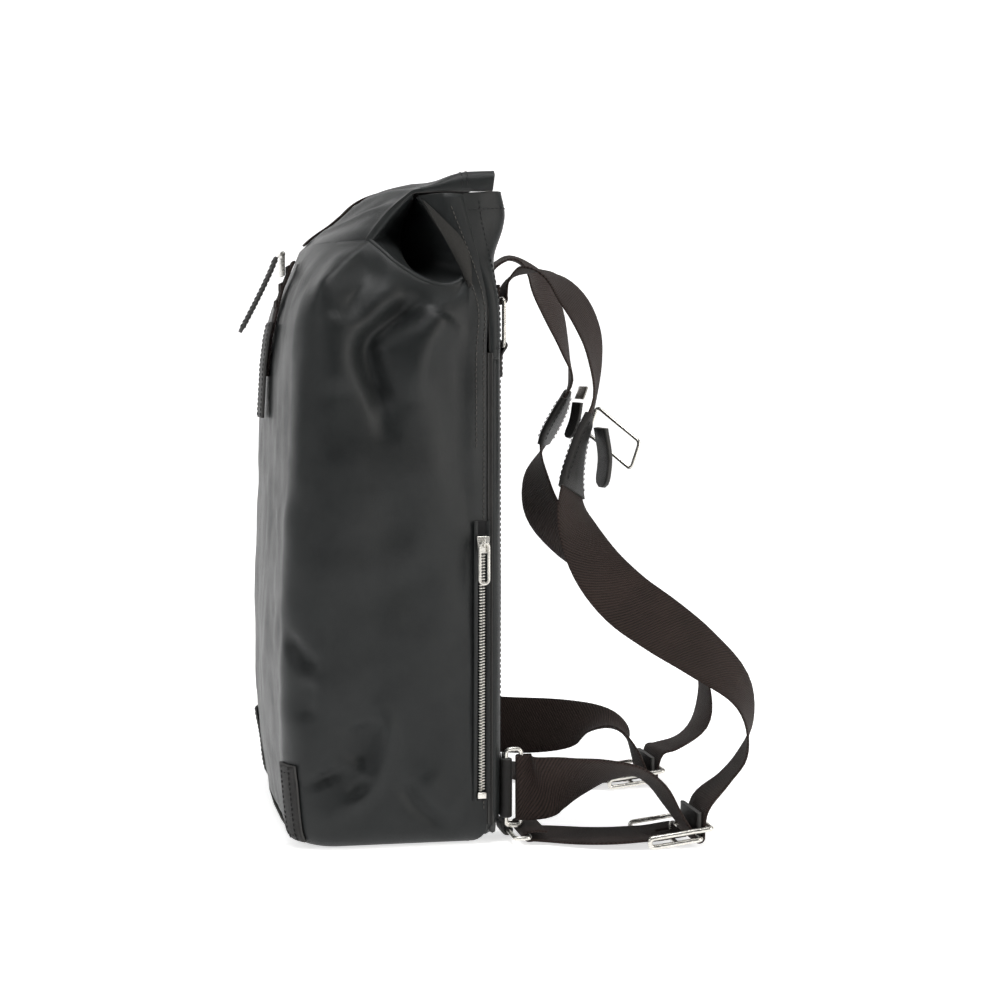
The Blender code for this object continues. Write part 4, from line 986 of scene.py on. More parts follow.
def flap_grid():
    middle, shoulder, edge = (smooth_line(line, FLAP_ROWS)
                              for line in (MOUTH_MIDDLE, MOUTH_SHOULDER, MOUTH_EDGE))
    rows = []
    for m, u, e in zip(middle, shoulder, edge):
        near = m + (u - m) * np.array([0.50, 0.16, 0.16])
        wide = m + (u - m) * np.array([0.86, 0.66, 0.62])
        turn = (u + e) / 2 + np.array([0.0022, 0.0, 0.0012])
        mirrored = np.array([-1.0, 1, 1])
        line = [e * mirrored, turn * mirrored, u * mirrored, wide * mirrored, near * mirrored,
                m, near, wide, u, turn, e]
        rows.append(smooth_line(line, 2 * FLAP_COLUMNS + 1))
    grid = np.array(rows)
    # the first row is the wrap's own fold line, point for point across its width
    start = np.array([fold_line(1 - abs(s)) * np.array([np.sign(s) if s else 1.0, 1, 1])
                      for s in np.linspace(-1, 1, 2 * FLAP_COLUMNS + 1)])
    ease = (1 - smoothstep(np.linspace(0, 1, FLAP_ROWS) / 0.14))[:, None, None]
    grid += (start - grid[0])[None] * ease
    return grid


def flap_marks(grid):
    """Tension creases from the hook to the two corners, and a soft sag in the flap."""
    x, y = np.abs(grid[..., 0]), grid[..., 1]
    marks = [([(0.016, -0.034), (0.060, -0.020), (0.112, 0.006)], 0.0036, 0.0026),
             ([(0.020, -0.028), (0.066, -0.012), (0.112, 0.013)], 0.0036, -0.0024),
             ([(0.014, -0.020), (0.056, -0.002), (0.112, 0.020)], 0.0034, 0.0024),
             ([(0.014, -0.012), (0.056, 0.007), (0.110, 0.028)], 0.0036, -0.0022),
             ([(0.014, -0.004), (0.056, 0.014), (0.108, 0.034)], 0.0036, 0.0018),
             ([(0.040, 0.020), (0.050, 0.045), (0.045, 0.070)], 0.0140, -0.0016)]
    height = sum(stroke(x, y, *mark) for mark in marks) + 0.0016 * cloud(grid, 16.0, 21.0)
    rows = np.linspace(0, 1, grid.shape[0])[:, None]
    across = 1 - np.abs(np.linspace(-1, 1, grid.shape[1]))[None]
    held = smoothstep(rows / 0.10) * smoothstep(across / 0.10) * (0.35 + 0.65 * smoothstep((1 - rows) / 0.2))
    return grid + grid_normals(grid) * (height * held)[..., None]


FLAP = flap_marks(flap_grid())
hem = np.linspace(0, 1, FLAP_ROWS)
flap = wall("front_flap", FLAP, LEATHER + 0.0018 * smoothstep((hem - 0.84) / 0.02), [BAG, CUT, SUEDE],
            1.0 if grid_normals(FLAP)[FLAP_ROWS // 2, FLAP_COLUMNS, 2] > 0 else -1.0, 60)
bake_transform(flap)
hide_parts("mouth_front_lip")
print("flap grid", FLAP.shape)

# %% [markdown]
# ## The tucked sides
# Between the front wall and the back wall the side of the tube is pushed inwards, which leaves a dark
# hollow with a rounded lip. The surface starts on the wrap's lip and the flap's edge and runs in.

# %% Tucks
TUCK_LOW, TUCK_TOP = np.array([0.060, 0.0160, 0.4000]), np.array([0.060, 0.0300, 0.4500])
TUCK_ROWS, TUCK_COLUMNS = 30, 96


def tuck_edge():
    back = smooth_line(BACK_RIDGE, 26)
    lip = smooth_line(SIDE_LIP, 40)[1:]
    front = smooth_line(MOUTH_EDGE[:5], 26)[1:]
    return resample(np.vstack([back, lip, front]), TUCK_COLUMNS)


def tuck_grid(side):
    """Both walls of the tuck run in to one line deep inside, so that it is closed."""
    edge = tuck_edge() - np.array([0.0010, 0, 0])
    share = (edge[:, 2:] - edge[:, 2].min()) / (edge[:, 2].max() - edge[:, 2].min())
    goal = TUCK_LOW + (TUCK_TOP - TUCK_LOW) * share
    centre = (TUCK_LOW + TUCK_TOP) / 2
    inward = (centre - edge) * np.array([0, 1, 1])
    into = unit(inward) * 0.0260 + np.array([-0.010, 0, 0])
    low = smoothstep(1 - share / 0.35)
    into = into * (1 - 0.35 * low) + np.array([-0.026, 0.0, 0.004]) * low
    leave = np.array([-0.045, 0.0, 0.002])
    t = np.linspace(0, 1, TUCK_ROWS)[:, None, None]
    grid = edge * (2 * t ** 3 - 3 * t ** 2 + 1) + into * (t ** 3 - 2 * t ** 2 + t)
    grid = grid + goal * (3 * t ** 2 - 2 * t ** 3) + leave * (t ** 3 - t ** 2)
    fold = np.linspace(0, 1, TUCK_COLUMNS)[None]
    depth = t[:, :, 0]
    grid[..., 1] += 0.0014 * np.sin(fold * 7 * math.pi) * np.sin(depth * math.pi)
    return grid * np.array([side, 1, 1])


def bend_with_mouth(body):
    """Bakes the tuck's placement into its mesh; it is not attached to the bag or the mouth."""
    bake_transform(body)


def make_tuck(side, name, node):
    grid = tuck_grid(side)
    up = 1.0 if grid_normals(grid)[4, TUCK_COLUMNS // 2, 2] > 0 else -1.0
    body = wall(name, grid, LEATHER * 0.6, [BAG, BAG, BAG], up, 80)
    bend_with_mouth(body)
    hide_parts(node)
    # the leather turns over in a soft roll all along the edge of the tuck
    path = tuck_edge() * np.array([side, 1, 1]) - np.array([side * LIP_ROLL * 0.9, 0, 0.0006])
    ends = smoothstep(np.minimum(np.linspace(0, 1, TUCK_COLUMNS), np.linspace(1, 0, TUCK_COLUMNS)) / 0.10)
    roll = rolled_edge(name + "_roll", path, LIP_ROLL * (0.35 + 0.65 * ends), BAG)
    bend_with_mouth(roll)


LIP_ROLL = 0.0030


def rolled_edge(name, path, radii, material, sides=14):
    runs = unit(np.gradient(path, axis=0))
    up = unit(np.cross(runs, np.array([1.0, 0, 0])))
    out = np.cross(up, runs)
    angle = np.linspace(0, 2 * math.pi, sides, endpoint=False)[None, :, None]
    grid = path[:, None] + radii[:, None, None] * (np.cos(angle) * up[:, None] + np.sin(angle) * out[:, None])
    faces = tube_faces(len(path), sides, False).tolist()
    faces += [list(range(sides)), list(range(len(path) * sides - 1, (len(path) - 1) * sides - 1, -1))]
    return outward(make(name, grid.reshape(-1, 3), faces, [material], smooth_angle=80))


make_tuck(1, "tucked_side_right", "gusset_right")
make_tuck(-1, "tucked_side_left", "gusset_left")
print("tucks made")

# %% [markdown]
# ## The back
# The back leather is stretched over foam, so it is crowned and its edges roll round to the side
# seams. The yoke above the cross seam carries on upwards and becomes the back wall of the mouth,
# which bellies out over its hem.

# %% Back panel and yoke
EDGE_IN = 0.0045


def back_y(x, z):
    share = min(abs(x) / SEAM_X, 1.0)
    crown = BACK_CROWN * (1 - share ** 2) * (0.75 + 0.25 * math.sin(math.pi * min(z / BODY_HEIGHT, 1)))
    tuck = 0.003 * float(smoothstep((z - YOKE_BOTTOM) / (BODY_HEIGHT - YOKE_BOTTOM)))
    return BACK_Y + crown - tuck


def back_line(z, edge, corner):
    """One level of the back, from the right seam to the middle: edge and corner are (x, y)."""
    points = [(edge[0], edge[1], z), (edge[0] + 0.0004, (edge[1] + corner[1]) / 2 - 0.001, z),
              (corner[0], corner[1], z)]
    points += [(x, back_y(x, z) + 0.0008, z) for x in (0.118, 0.095, 0.060, 0.030, 0.0)]
    return points


PANEL_ROWS, BACK_COLUMNS = 84, 60


def mirror_row(points, count):
    full = [(-x, y, z) for x, y, z in points[:-1]] + [points[-1]] + [tuple(p) for p in reversed(points[:-1])]
    return smooth_line(full, count)


def panel_grid():
    rows = []
    for z in np.linspace(BACK_LOW.z, YOKE_BOTTOM - GAP, PANEL_ROWS):
        under = 0.010 * (1 - smoothstep(z / 0.022))
        edge = (SEAM_X + 0.0003 - under, SHELL_BACK + 0.0006)
        corner = (SEAM_X - EDGE_IN - under, 0.0788 - 0.3 * under)
        line = [(x * (1 - under * 2), y - 0.35 * under, zz) for x, y, zz in back_line(z, edge, corner)]
        rows.append(mirror_row(line, 2 * BACK_COLUMNS + 1))
    grid = np.array(rows)
    pad = smoothstep((0.128 - np.abs(grid[..., 0])) / 0.020) * smoothstep((grid[..., 2] - 0.010) / 0.02)
    grid[..., 1] += 0.0010 * pad + 0.0012 * cloud(grid, 18.0, 33.0) * pad
    return grid


YOKE_EDGE = [(0.1383, 0.0716, 0.3330), (0.1383, 0.0712, 0.3524), (0.1376, 0.0695, 0.3726),
             (0.1350, 0.0665, 0.3894), (0.1305, 0.0617, 0.4062), (0.1258, 0.0572, 0.4250),
             (0.1228, 0.0556, 0.4380), (0.1217, 0.0560, 0.4455)]
YOKE_CORNER = [(0.1335, 0.0788, 0.3330), (0.1335, 0.0790, 0.3524), (0.1320, 0.0785, 0.3726),
               (0.1280, 0.0765, 0.3894), (0.1210, 0.0770, 0.4035), (0.1130, 0.0845, 0.4230),
               (0.1115, 0.0862, 0.4330), (0.1110, 0.0835, 0.4480)]
YOKE_MIDDLE = [(0, 0.0885, 0.3330), (0, 0.0875, 0.3524), (0, 0.0855, 0.3726), (0, 0.0838, 0.3894),
               (0, 0.0835, 0.4035), (0, 0.0880, 0.4215), (0, 0.0893, 0.4330), (0, 0.0868, 0.4482)]
YOKE_ROWS = 52


def yoke_grid():
    edge, corner, middle = (smooth_line(line, YOKE_ROWS) for line in (YOKE_EDGE, YOKE_CORNER, YOKE_MIDDLE))
    rows = []
    for e, c, m in zip(edge, corner, middle):
        round_off = (e + c) / 2 + np.array([0.0022, 0.0008, 0])
        near = m + (c - m) * np.array([0.55, 0.30, 0.30])
        wide = m + (c - m) * np.array([0.85, 0.70, 0.70])
        rows.append(mirror_row([tuple(e), tuple(round_off), tuple(c), tuple(wide), tuple(near), tuple(m)],
                               2 * BACK_COLUMNS + 1))
    grid = np.array(rows)
    rows_share = np.linspace(0, 1, YOKE_ROWS)[:, None]
    inner = smoothstep((0.125 - np.abs(grid[..., 0])) / 0.02) * smoothstep(rows_share / 0.1)
    grid[..., 1] += 0.0016 * cloud(grid, 20.0, 41.0) * inner * smoothstep((1 - rows_share) / 0.1)
    return grid


def facing(grid, axis, sign):
    """+1 or -1, so that the middle of the grid looks along +axis or -axis."""
    return sign if grid_normals(grid)[grid.shape[0] // 2, grid.shape[1] // 2, axis] > 0 else -sign


PANEL, YOKE = panel_grid(), yoke_grid()
panel = wall("back_leather", PANEL, LEATHER, [BAG, CUT, SUEDE], facing(PANEL, 1, 1.0), 60)
settle(panel, "bag", "bag_leather", "back_panel")
yoke_wall = LEATHER + 0.0014 * smoothstep((np.linspace(0, 1, YOKE_ROWS) - 0.80) / 0.03)
yoke = wall("back_yoke_leather", YOKE, yoke_wall, [BAG, CUT, SUEDE], facing(YOKE, 1, 1.0), 60)
settle(yoke, "bag", "bag_leather", "back_yoke", "mouth_back_lip")
print("back", PANEL.shape, "yoke", YOKE.shape)


# %% [markdown]
# A narrow strip of leather runs up each side seam, between the wrap and the back leather.

# %% Edge strips down the side seams
def edge_strip(side, name, node):
    low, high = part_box(node)
    z = np.linspace(low.z, high.z, 60)
    line = [(side * (SEAM_X - 0.0006), SHELL_BACK + 0.0008, k, 0.0, 1.0, 0.0) for k in z]
    return settle(ribbon(name, line, 0.0042, 0.0030, [TRIM, CUT], wide=4), "bag", "trim_leather", node)


edge_strip(1, "seam_strip_right", "edge_strip_right")
edge_strip(-1, "seam_strip_left", "edge_strip_left")

# %% [markdown]
# ## The base
# The base leather is set inside the turned-under edge of the wrap, over a stiff board.


# %% Base leather
def base_piece():
    ring = WRAP[0][:, :2]
    loop = np.vstack([ring, [(-ring[0, 0], 0.0640), (-0.060, 0.0665), (0.0, 0.0675), (0.060, 0.0665),
                             (ring[0, 0], 0.0640)]])
    centre = np.array([0.0, -0.001])
    shares, points = (1.0, 0.985, 0.9, 0.6, 0.3), []
    heights = (0.0008, 0.0, 0.0, 0.0, 0.0)
    for share, height in zip(shares, heights):
        points.append(np.column_stack([centre + (loop - centre) * share * 0.998,
                                       np.full(len(loop), BASE_REST + height)]))
    top = points[0] + np.array([0, 0, 0.0026])
    rows = np.array([top] + points)
    count = rows.shape[1]
    faces = tube_faces(len(rows), count, False).tolist()
    flat_points = rows.reshape(-1, 3)
    faces += [list(range(count)), list(range(len(flat_points) - 1, len(flat_points) - count - 1, -1))]
    return settle(outward(make("base_leather", flat_points, faces, [BAG])),
                  "bag", "bag_leather", "base_panel")


base_piece()
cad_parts["base_board"].data.materials.clear()
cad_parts["base_board"].data.materials.append(BOARD)

# %% [markdown]
# ## Inside
# A loose cotton bag hangs inside the leather, a padded sleeve holds a laptop against the back, and a
# sheet of foam fills the back. They show when the mouth is lifted.


# %% Lining, sleeve and foam
def lining_grid():
    keep = (WRAP[:, :, 2].max(axis=1) < 0.372)
    rows = WRAP[keep]
    normals = grid_normals(rows) * WRAP_SIGN
    inner = rows - normals * (LEATHER + 0.0022)
    inner[..., 2] = np.maximum(inner[..., 2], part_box("base_board")[1].z + 0.0006)
    inner[..., 1] = np.minimum(inner[..., 1], SHELL_BACK - 0.004)
    return inner[:, 3:-3]


LINING = lining_grid()
lining = wall("cotton_lining", LINING, 0.0009, [COTTON], WRAP_SIGN, 80)
settle(lining, "bag", "cotton", "lining")


def pad_like(name, node, material, thick_share, seed, rows=40, cols=60, puff=0.0008):
    """A soft slab in the space of a plain solid that follows the crowned back."""
    low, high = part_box(node)
    zs, xs = np.linspace(low.z, high.z, rows), np.linspace(low.x, high.x, cols)
    z, x = np.meshgrid(zs, xs, indexing='ij')
    rim = np.minimum(np.minimum(x - low.x, high.x - x), np.minimum(z - low.z, high.z - z))
    outer = np.vectorize(back_y)(x, z) - (back_y(0, low.z) - high.y) - 0.0008
    outer = (outer - 0.0014 * (1 - smoothstep(rim / 0.006))
             + puff * 0.3 * cloud(np.stack([x, outer, z], -1), 40.0, seed))
    grid = np.stack([x, outer, z], -1)
    return wall(name, grid, thick_share, material, facing(grid, 1, 1.0), 60)


sleeve = pad_like("laptop_sleeve_wall", "laptop_sleeve", [COTTON], 0.0026, 51.0)
settle(sleeve, "bag", "cotton", "laptop_sleeve")
foam = pad_like("back_foam", "back_pad", [FOAM], 0.0040, 57.0)
settle(foam, "bag", "foam", "back_pad")
print("lining", LINING.shape)

# %% [markdown]
# ## Side zip
# The zip is sewn into the side just in front of the seam. Its tape follows the leather, its teeth
# are a Geometry Nodes row on each side, and the slider and its slotted pull are separate bodies.

# %% Zip tape and teeth
ZIP_LOW, ZIP_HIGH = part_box("zip_tape")
TEETH_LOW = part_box("zip_teeth")[0]
SLIDER_LOW, SLIDER_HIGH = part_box("zip_slider")
ZIP_Y = (ZIP_LOW.y + ZIP_HIGH.y) / 2


def zip_grid(half, off, low, high, rows, cols):
    zs, ys = np.linspace(low, high, rows), np.linspace(ZIP_Y - half, ZIP_Y + half, cols)
    return np.array([[(side_at(y, z) + off, y, z) for y in ys] for z in zs])


def zip_welts():
    """Two turned leather edges that frame the zip."""
    for k, sign in enumerate((-1, 1)):
        y = ZIP_Y + sign * 0.0044
        zs = np.linspace(ZIP_LOW.z, ZIP_HIGH.z, 80)
        line = [(side_at(y, z) + 0.0010, y, z, 0.30 * sign, 1.0, 0.0) for z in zs]
        body = ribbon("zip_welt_" + ("front" if sign < 0 else "rear"), line, 0.0030, 0.0016, [BAG], wide=5)
        settle(body, "bag", "bag_leather")


TAPE_GRID = zip_grid(0.0046, 0.0006, ZIP_LOW.z, ZIP_HIGH.z, 90, 9)
tape = wall("zip_tape_cloth", TAPE_GRID, 0.0007, [TAPE], facing(TAPE_GRID, 0, 1.0))
settle(tape, "bag", "zip_cloth", "zip_tape")
zip_welts()


def tooth_tree():
    tree = bpy.data.node_groups.new("zip_tooth_row", 'GeometryNodeTree')
    face = tree.interface
    face.new_socket("Geometry", in_out='INPUT', socket_type='NodeSocketGeometry')
    ids = {}
    for label, default in (("Pitch", 0.0020), ("Reach", 0.0024), ("Height", 0.0011), ("Gauge", 0.0010)):
        socket = face.new_socket(label, in_out='INPUT', socket_type='NodeSocketFloat')
        socket.default_value = default
        ids[label] = socket.identifier
    socket = face.new_socket("Metal", in_out='INPUT', socket_type='NodeSocketMaterial')
    ids["Metal"] = socket.identifier
    face.new_socket("Geometry", in_out='OUTPUT', socket_type='NodeSocketGeometry')
    g = Graph(tree)
    source, result = tree.nodes.new('NodeGroupInput'), tree.nodes.new('NodeGroupOutput')
    curve = g.node('GeometryNodeMeshToCurve', {"Mesh": source.outputs["Geometry"]})
    spaced = g.node('GeometryNodeResampleCurve',
                    {"Curve": curve.outputs[0], "Length": source.outputs["Pitch"]},
                    mode='LENGTH')
    size = g.node('ShaderNodeCombineXYZ', {0: source.outputs["Height"], 1: source.outputs["Reach"],
                                           2: source.outputs["Gauge"]})
    tooth = g.node('GeometryNodeMeshUVSphere', {"Segments": 8, "Rings": 4, "Radius": 0.58})
    rows = g.node('GeometryNodeInstanceOnPoints', {"Points": spaced.outputs[0],
                                                   "Instance": tooth.outputs["Mesh"],
                                                   "Scale": size.outputs[0]})
    real = g.node('GeometryNodeRealizeInstances', {0: rows.outputs[0]})
    painted = g.node('GeometryNodeSetMaterial',
                     {"Geometry": real.outputs[0], "Material": source.outputs["Metal"]})
    tree.links.new(painted.outputs[0], result.inputs[0])
    return tree, ids


TOOTH, TOOTH_IDS = tooth_tree()
TOOTH_PITCH = 0.0020


def teeth_row(sign):
    shift = TOOTH_PITCH / 2 if sign > 0 else 0.0
    zs = np.linspace(TEETH_LOW.z + 0.001 + shift, SLIDER_LOW.z + 0.004, 60)
    y = ZIP_Y + sign * 0.0009
    return [(side_at(y, z) + 0.0019, y, z) for z in zs]


teeth = run_tree("zip_teeth_rows", [teeth_row(-1), teeth_row(1)], TOOTH, TOOTH_IDS,
                 {"Pitch": TOOTH_PITCH, "Reach": 0.0026, "Height": 0.0012, "Gauge": 0.0012, "Metal": NICKEL})
settle(teeth, "bag", "nickel", "zip_teeth")
stop_low, stop_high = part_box("zip_bottom_stop")
stop = block("zip_end_stop", stop_low, stop_high, NICKEL, 0.0006)
settle(stop, "bag", "nickel", "zip_bottom_stop")


# %% [markdown]
# The slider is a small body with a tapered nose and a bridge. Its pull is a flat plate with rounded
# ends and a slot right through it, and it swings on the bridge.

# %% Slider and pull
def slider_piece():
    """The slider narrows towards its lower end, and a bridge on its face holds the pull."""
    low, high = SLIDER_LOW, SLIDER_HIGH

    def nose(p):
        share = (p[2] - low.z) / (high.z - low.z)
        p[1] = ZIP_Y + (p[1] - ZIP_Y) * (0.72 + 0.28 * share)
        return p

    body = block("slider_body", (low.x, low.y, low.z), (low.x + 0.0021, high.y, high.z), NICKEL,
                 0.0006, taper=nose)
    top = high.z - 0.0012
    bridge = wire("slider_bridge", [(low.x + 0.0016, ZIP_Y, top), (high.x + 0.0024, ZIP_Y, top),
                                    (high.x + 0.0024, ZIP_Y, top - 0.0055),
                                     (low.x + 0.0016, ZIP_Y, top - 0.0055)],
                  0.0007, NICKEL, bend=0.0016, link=False, sides=10)
    settle(body, "slider", "nickel", "zip_slider")
    settle(bridge, "slider", "nickel")


def pull_piece():
    """Flat pull with round ends and a long slot, cut out as one ring of faces."""
    low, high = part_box("zip_pull")
    half, x0, x1 = (high.y - low.y) / 2, low.x, high.x

    def outline(inset, count=22):
        r = half - inset
        up = [(ZIP_Y + r * math.cos(a), high.z - half + r * math.sin(a))
              for a in np.linspace(0, math.pi, count)]
        down = [(ZIP_Y + r * math.cos(a), low.z + half + r * math.sin(a))
                for a in np.linspace(math.pi, 2 * math.pi, count)]
        return up + down

    rim = 0.0004
    inset = half - 0.0021
    layers = [(0.0, x0 + rim), (0.0, x1 - rim), (rim, x1), (inset - rim, x1), (inset, x1 - rim),
              (inset, x0 + rim),
              (inset - rim, x0), (rim, x0)]
    points = [(x, y, z) for step, x in layers for y, z in outline(step)]
    count = len(outline(0.0))
    faces = tube_faces(len(layers), count, True).tolist()
    return settle(outward(make("pull_plate", points, faces, [NICKEL], smooth_angle=50)),
                  "pull", "nickel", "zip_pull")


slider_piece()
pull_piece()
print("zip made, teeth", len(teeth.data.polygons), "faces")

# %% [markdown]
# ## Shoulder straps
# Each shoulder web is one long ribbon: round its upper ring, over the shoulder, round the buckle's
# bar and back to the lower ring. The stations run in from the side seam, then out, up and turned.

# %% Strap routes
UPPER_RING_Z, RING_TALL = BODY_HEIGHT - 0.0095, 0.033
UPPER_RING_IN, LOWER_RING_IN, BASE_RING_IN = 0.080, 0.006, 0.012
LOWER_RING_Z, BASE_RING_Z, RING_DEEP = 0.0375, 0.0062, 0.0105
RING_HALF = WEB_WIDTH / 2 + 0.0025 + RING_WIRE / 2
BUCKLE = {1: (-0.0170, 0.1915, 0.0047), -1: (0.0920, 0.2130, 0.0047)}
BUCKLE_LONG, BUCKLE_TILT, DECK, BAR_ALONG = 0.036, math.radians(7), 0.0062, 0.0010
RIGHT_ROUTE = [
    (0.0785, 0.1000, 0.3900, -4), (0.073, 0.113, 0.3970, -5), (0.064, 0.125, 0.394, 16),
    (0.058, 0.141, 0.377, 34), (0.051, 0.151, 0.356, 34), (0.046, 0.1550, 0.334, 26),
    (0.041, 0.1535, 0.302, 15), (0.036, 0.142, 0.272, 22), (0.029, 0.1350, 0.240, 32),
    (0.022, 0.1370, 0.218, 45), (0.014, 0.149, 0.190, 60), (0.007, 0.168, 0.167, 68),
    (0.001, 0.192, 0.149, 66), (-0.006, 0.218, 0.130, 54), (-0.012, 0.243, 0.107, 39),
    (-0.018, 0.2505, 0.082, 24),
    (-0.020, 0.245, 0.059, 11), (-0.019, 0.233, 0.0435, 8)]
LEFT_ROUTE = [
    (0.079, 0.108, 0.4030, 0), (0.079, 0.120, 0.4105, 2), (0.077, 0.132, 0.4085, 12),
    (0.073, 0.147, 0.393, 31), (0.067, 0.161, 0.371, 33), (0.062, 0.171, 0.346, 22),
    (0.057, 0.1775, 0.322, 9), (0.051, 0.171, 0.296, 20), (0.046, 0.158, 0.267, 18),
    (0.044, 0.153, 0.238, -16), (0.041, 0.160, 0.211, -32), (0.035, 0.186, 0.182, -32),
    (0.034, 0.226, 0.154, -20), (0.039, 0.263, 0.122, -2), (0.051, 0.284, 0.090, 9), (0.068, 0.284, 0.060, 6),
    (0.085, 0.270, 0.038, 2), (0.0915, 0.2470, 0.0285, 0)]
RIGHT_RETURN = [
    (-0.0175, 0.1955, 0.0240, 2), (-0.017, 0.1845, 0.0405, 7), (-0.015, 0.172, 0.0490, 15),
    (-0.011, 0.151, 0.0500, 30), (-0.007, 0.130, 0.0455, 50), (-0.0035, 0.1130, 0.0405, 74)]
LEFT_RETURN = [
    (0.0912, 0.2225, 0.0240, 0), (0.085, 0.2140, 0.0390, -4), (0.073, 0.203, 0.0440, -12),
    (0.058, 0.190, 0.0425, -32),
    (0.044, 0.168, 0.0400, -56), (0.027, 0.138, 0.0380, -76)]
RIGHT_BASE = [(0.0085, 0.1164, 0.0031, 0), (-0.0025, 0.1350, 0.0036, 0), (-0.0135, 0.1535, 0.0052, 0)]
LEFT_BASE = [(0.0171, 0.1188, 0.0031, 0), (0.0313, 0.1363, 0.0033, 0), (0.0520, 0.1457, 0.0036, 0),
             (0.0727, 0.1551, 0.0042, 0), (0.0869, 0.1726, 0.0056, 0)]
KEEPER_Z = {1: (0.238, 0.292), -1: (0.266, 0.310)}
HANDS = ((1, "right"), (-1, "left"))


def place(side, inset):
    return side * (SEAM_X - inset)


def ring_bar(name, side):
    """The ring's bar next to the bag, from the plain solid: (x, y) of the wire's middle."""
    low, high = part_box(f"{name}_{side}")
    return (low.x + high.x) / 2, low.y + RING_WIRE / 2


def buckle_point(side, across, along, up):
    """A point in the buckle's own frame: across is +X, along runs away from the bag."""
    inset, y, z = BUCKLE[side]
    c, s = math.cos(BUCKLE_TILT), math.sin(BUCKLE_TILT)
    return np.array([place(side, inset) + across, y + along * c - up * s, z + along * s + up * c])


def strap_route(side, hand):
    def moved(rows, before=(), after=()):
        return [*before, *[(place(side, i), y, z, turn) for i, y, z, turn in rows], *after]

    start_x = place(side, UPPER_RING_IN)
    bar = (ring_bar("upper_ring", hand)[1], UPPER_RING_Z)
    hug = RING_WIRE / 2 + GAP + WEB / 2 + 0.0004
    tail = [(bar[0] - hug + 0.0004, bar[1] + 0.0100), (bar[0] - hug, bar[1] + 0.0040)]
    route = flat(start_x, tail + arc(bar, hug, 180, 350, 9))
    leaving = (start_x, bar[0] + hug + 0.0006, bar[1] + 0.0040, 0)
    x, y, z = buckle_point(side, 0, BUCKLE_LONG / 2, 0)
    hug = FRAME_WIRE / 2 + GAP + WEB / 2 + 0.0004
    arriving = (x, y + hug + 0.0035, z + 0.0190, 0)
    route += directed(moved(RIGHT_ROUTE if side > 0 else LEFT_ROUTE, [leaving], [arriving]))
    route += flat(x, arc((y, z), hug, 12, -192, 9))
    route += directed(moved(RIGHT_RETURN if side > 0 else LEFT_RETURN))
    x, y = place(side, LOWER_RING_IN), ring_bar("lower_ring", hand)[1] + RING_DEEP
    hug = RING_WIRE / 2 + GAP + WEB / 2 + 0.0004
    turn = [(hug + 0.0004, 0.010)] + arc((0, 0), hug, 10, -190, 9) + [(-hug, 0.008)]
    return route + [(x + side * px, y + py, LOWER_RING_Z, 0.0, 0.0, float(side)) for px, py in turn]


def dense(route, steps=5):
    """Smooth route with a point every few millimetres, and its width directions with it."""
    return spline(np.array(route, float), steps)


# %% [markdown]
# One ribbon makes each web. The base webs get a slot for the buckle's prong.

# %% Webs
STRAPS = {side: dense(strap_route(side, hand)) for side, hand in HANDS}
for side, hand in HANDS:
    strap = ribbon("shoulder_web_" + hand, STRAPS[side], WEB_WIDTH, WEB, [WEBBING], wide=10)
    settle(strap, "bag", "webbing", "shoulder_strap_" + hand)


def base_route(side, hand):
    x, y = place(side, BASE_RING_IN), ring_bar("base_ring", hand)[1] + RING_DEEP
    hug = RING_WIRE / 2 + GAP + WEB / 2 + 0.0004
    route = flat(x, [(y + 0.0125, BASE_RING_Z + hug - 0.0004), (y + 0.006, BASE_RING_Z + hug + 0.0003)])
    route += flat(x, arc((y, BASE_RING_Z), hug, 90, 270, 8) + [(y + 0.0045, BASE_RING_Z - hug + 0.0002)])
    legs = RIGHT_BASE if side > 0 else LEFT_BASE
    route += directed([(place(side, inset), py, pz, turn) for inset, py, pz, turn in legs])
    over = FRAME_WIRE / 2 + GAP + WEB / 2 + 0.0003
    for along in (-0.0185, -0.0100, BAR_ALONG, 0.0090):
        point = buckle_point(side, 0, along, over + 0.0008 * (along < -0.015))
        route += flat(point[0], [point[1:]])
    return dense(route, 5)


def with_eyelet(body, at, across, along):
    """Cuts the slot that the prong stands in, and leaves plain mesh."""
    cutter = block("eyelet_cutter", (at[0] - across, at[1] - along[0], at[2] - 0.004),
                   (at[0] + across, at[1] + along[1], at[2] + 0.006), WEBBING, 0.0006)
    cut = body.modifiers.new("eyelet", 'BOOLEAN')
    cut.operation = 'DIFFERENCE'
    cut.object = cutter
    bpy.context.view_layer.update()
    made = bpy.data.meshes.new_from_object(body.evaluated_get(bpy.context.evaluated_depsgraph_get()))
    body.modifiers.clear()
    body.data = made
    bpy.data.objects.remove(cutter)


for side, hand in HANDS:
    base_run = base_route(side, hand)
    strap = ribbon("base_web_" + hand, base_run, WEB_WIDTH, WEB, [WEBBING], wide=9)
    with_eyelet(strap, buckle_point(side, 0, BAR_ALONG, 0.003), 0.0022, (0.0078, 0.0048))
    settle(strap, "bag", "webbing", "base_strap_" + hand)
    long_m, short_m = (np.linalg.norm(np.diff(run[:, :3], axis=0), axis=1).sum()
                       for run in (STRAPS[side], base_run))
    print(f"{hand} side: shoulder web {long_m:.3f} m, base web {short_m:.3f} m")


# %% [markdown]
# A buckle is one bent wire frame. Its prong is a thinner wire curled round the frame's bar.

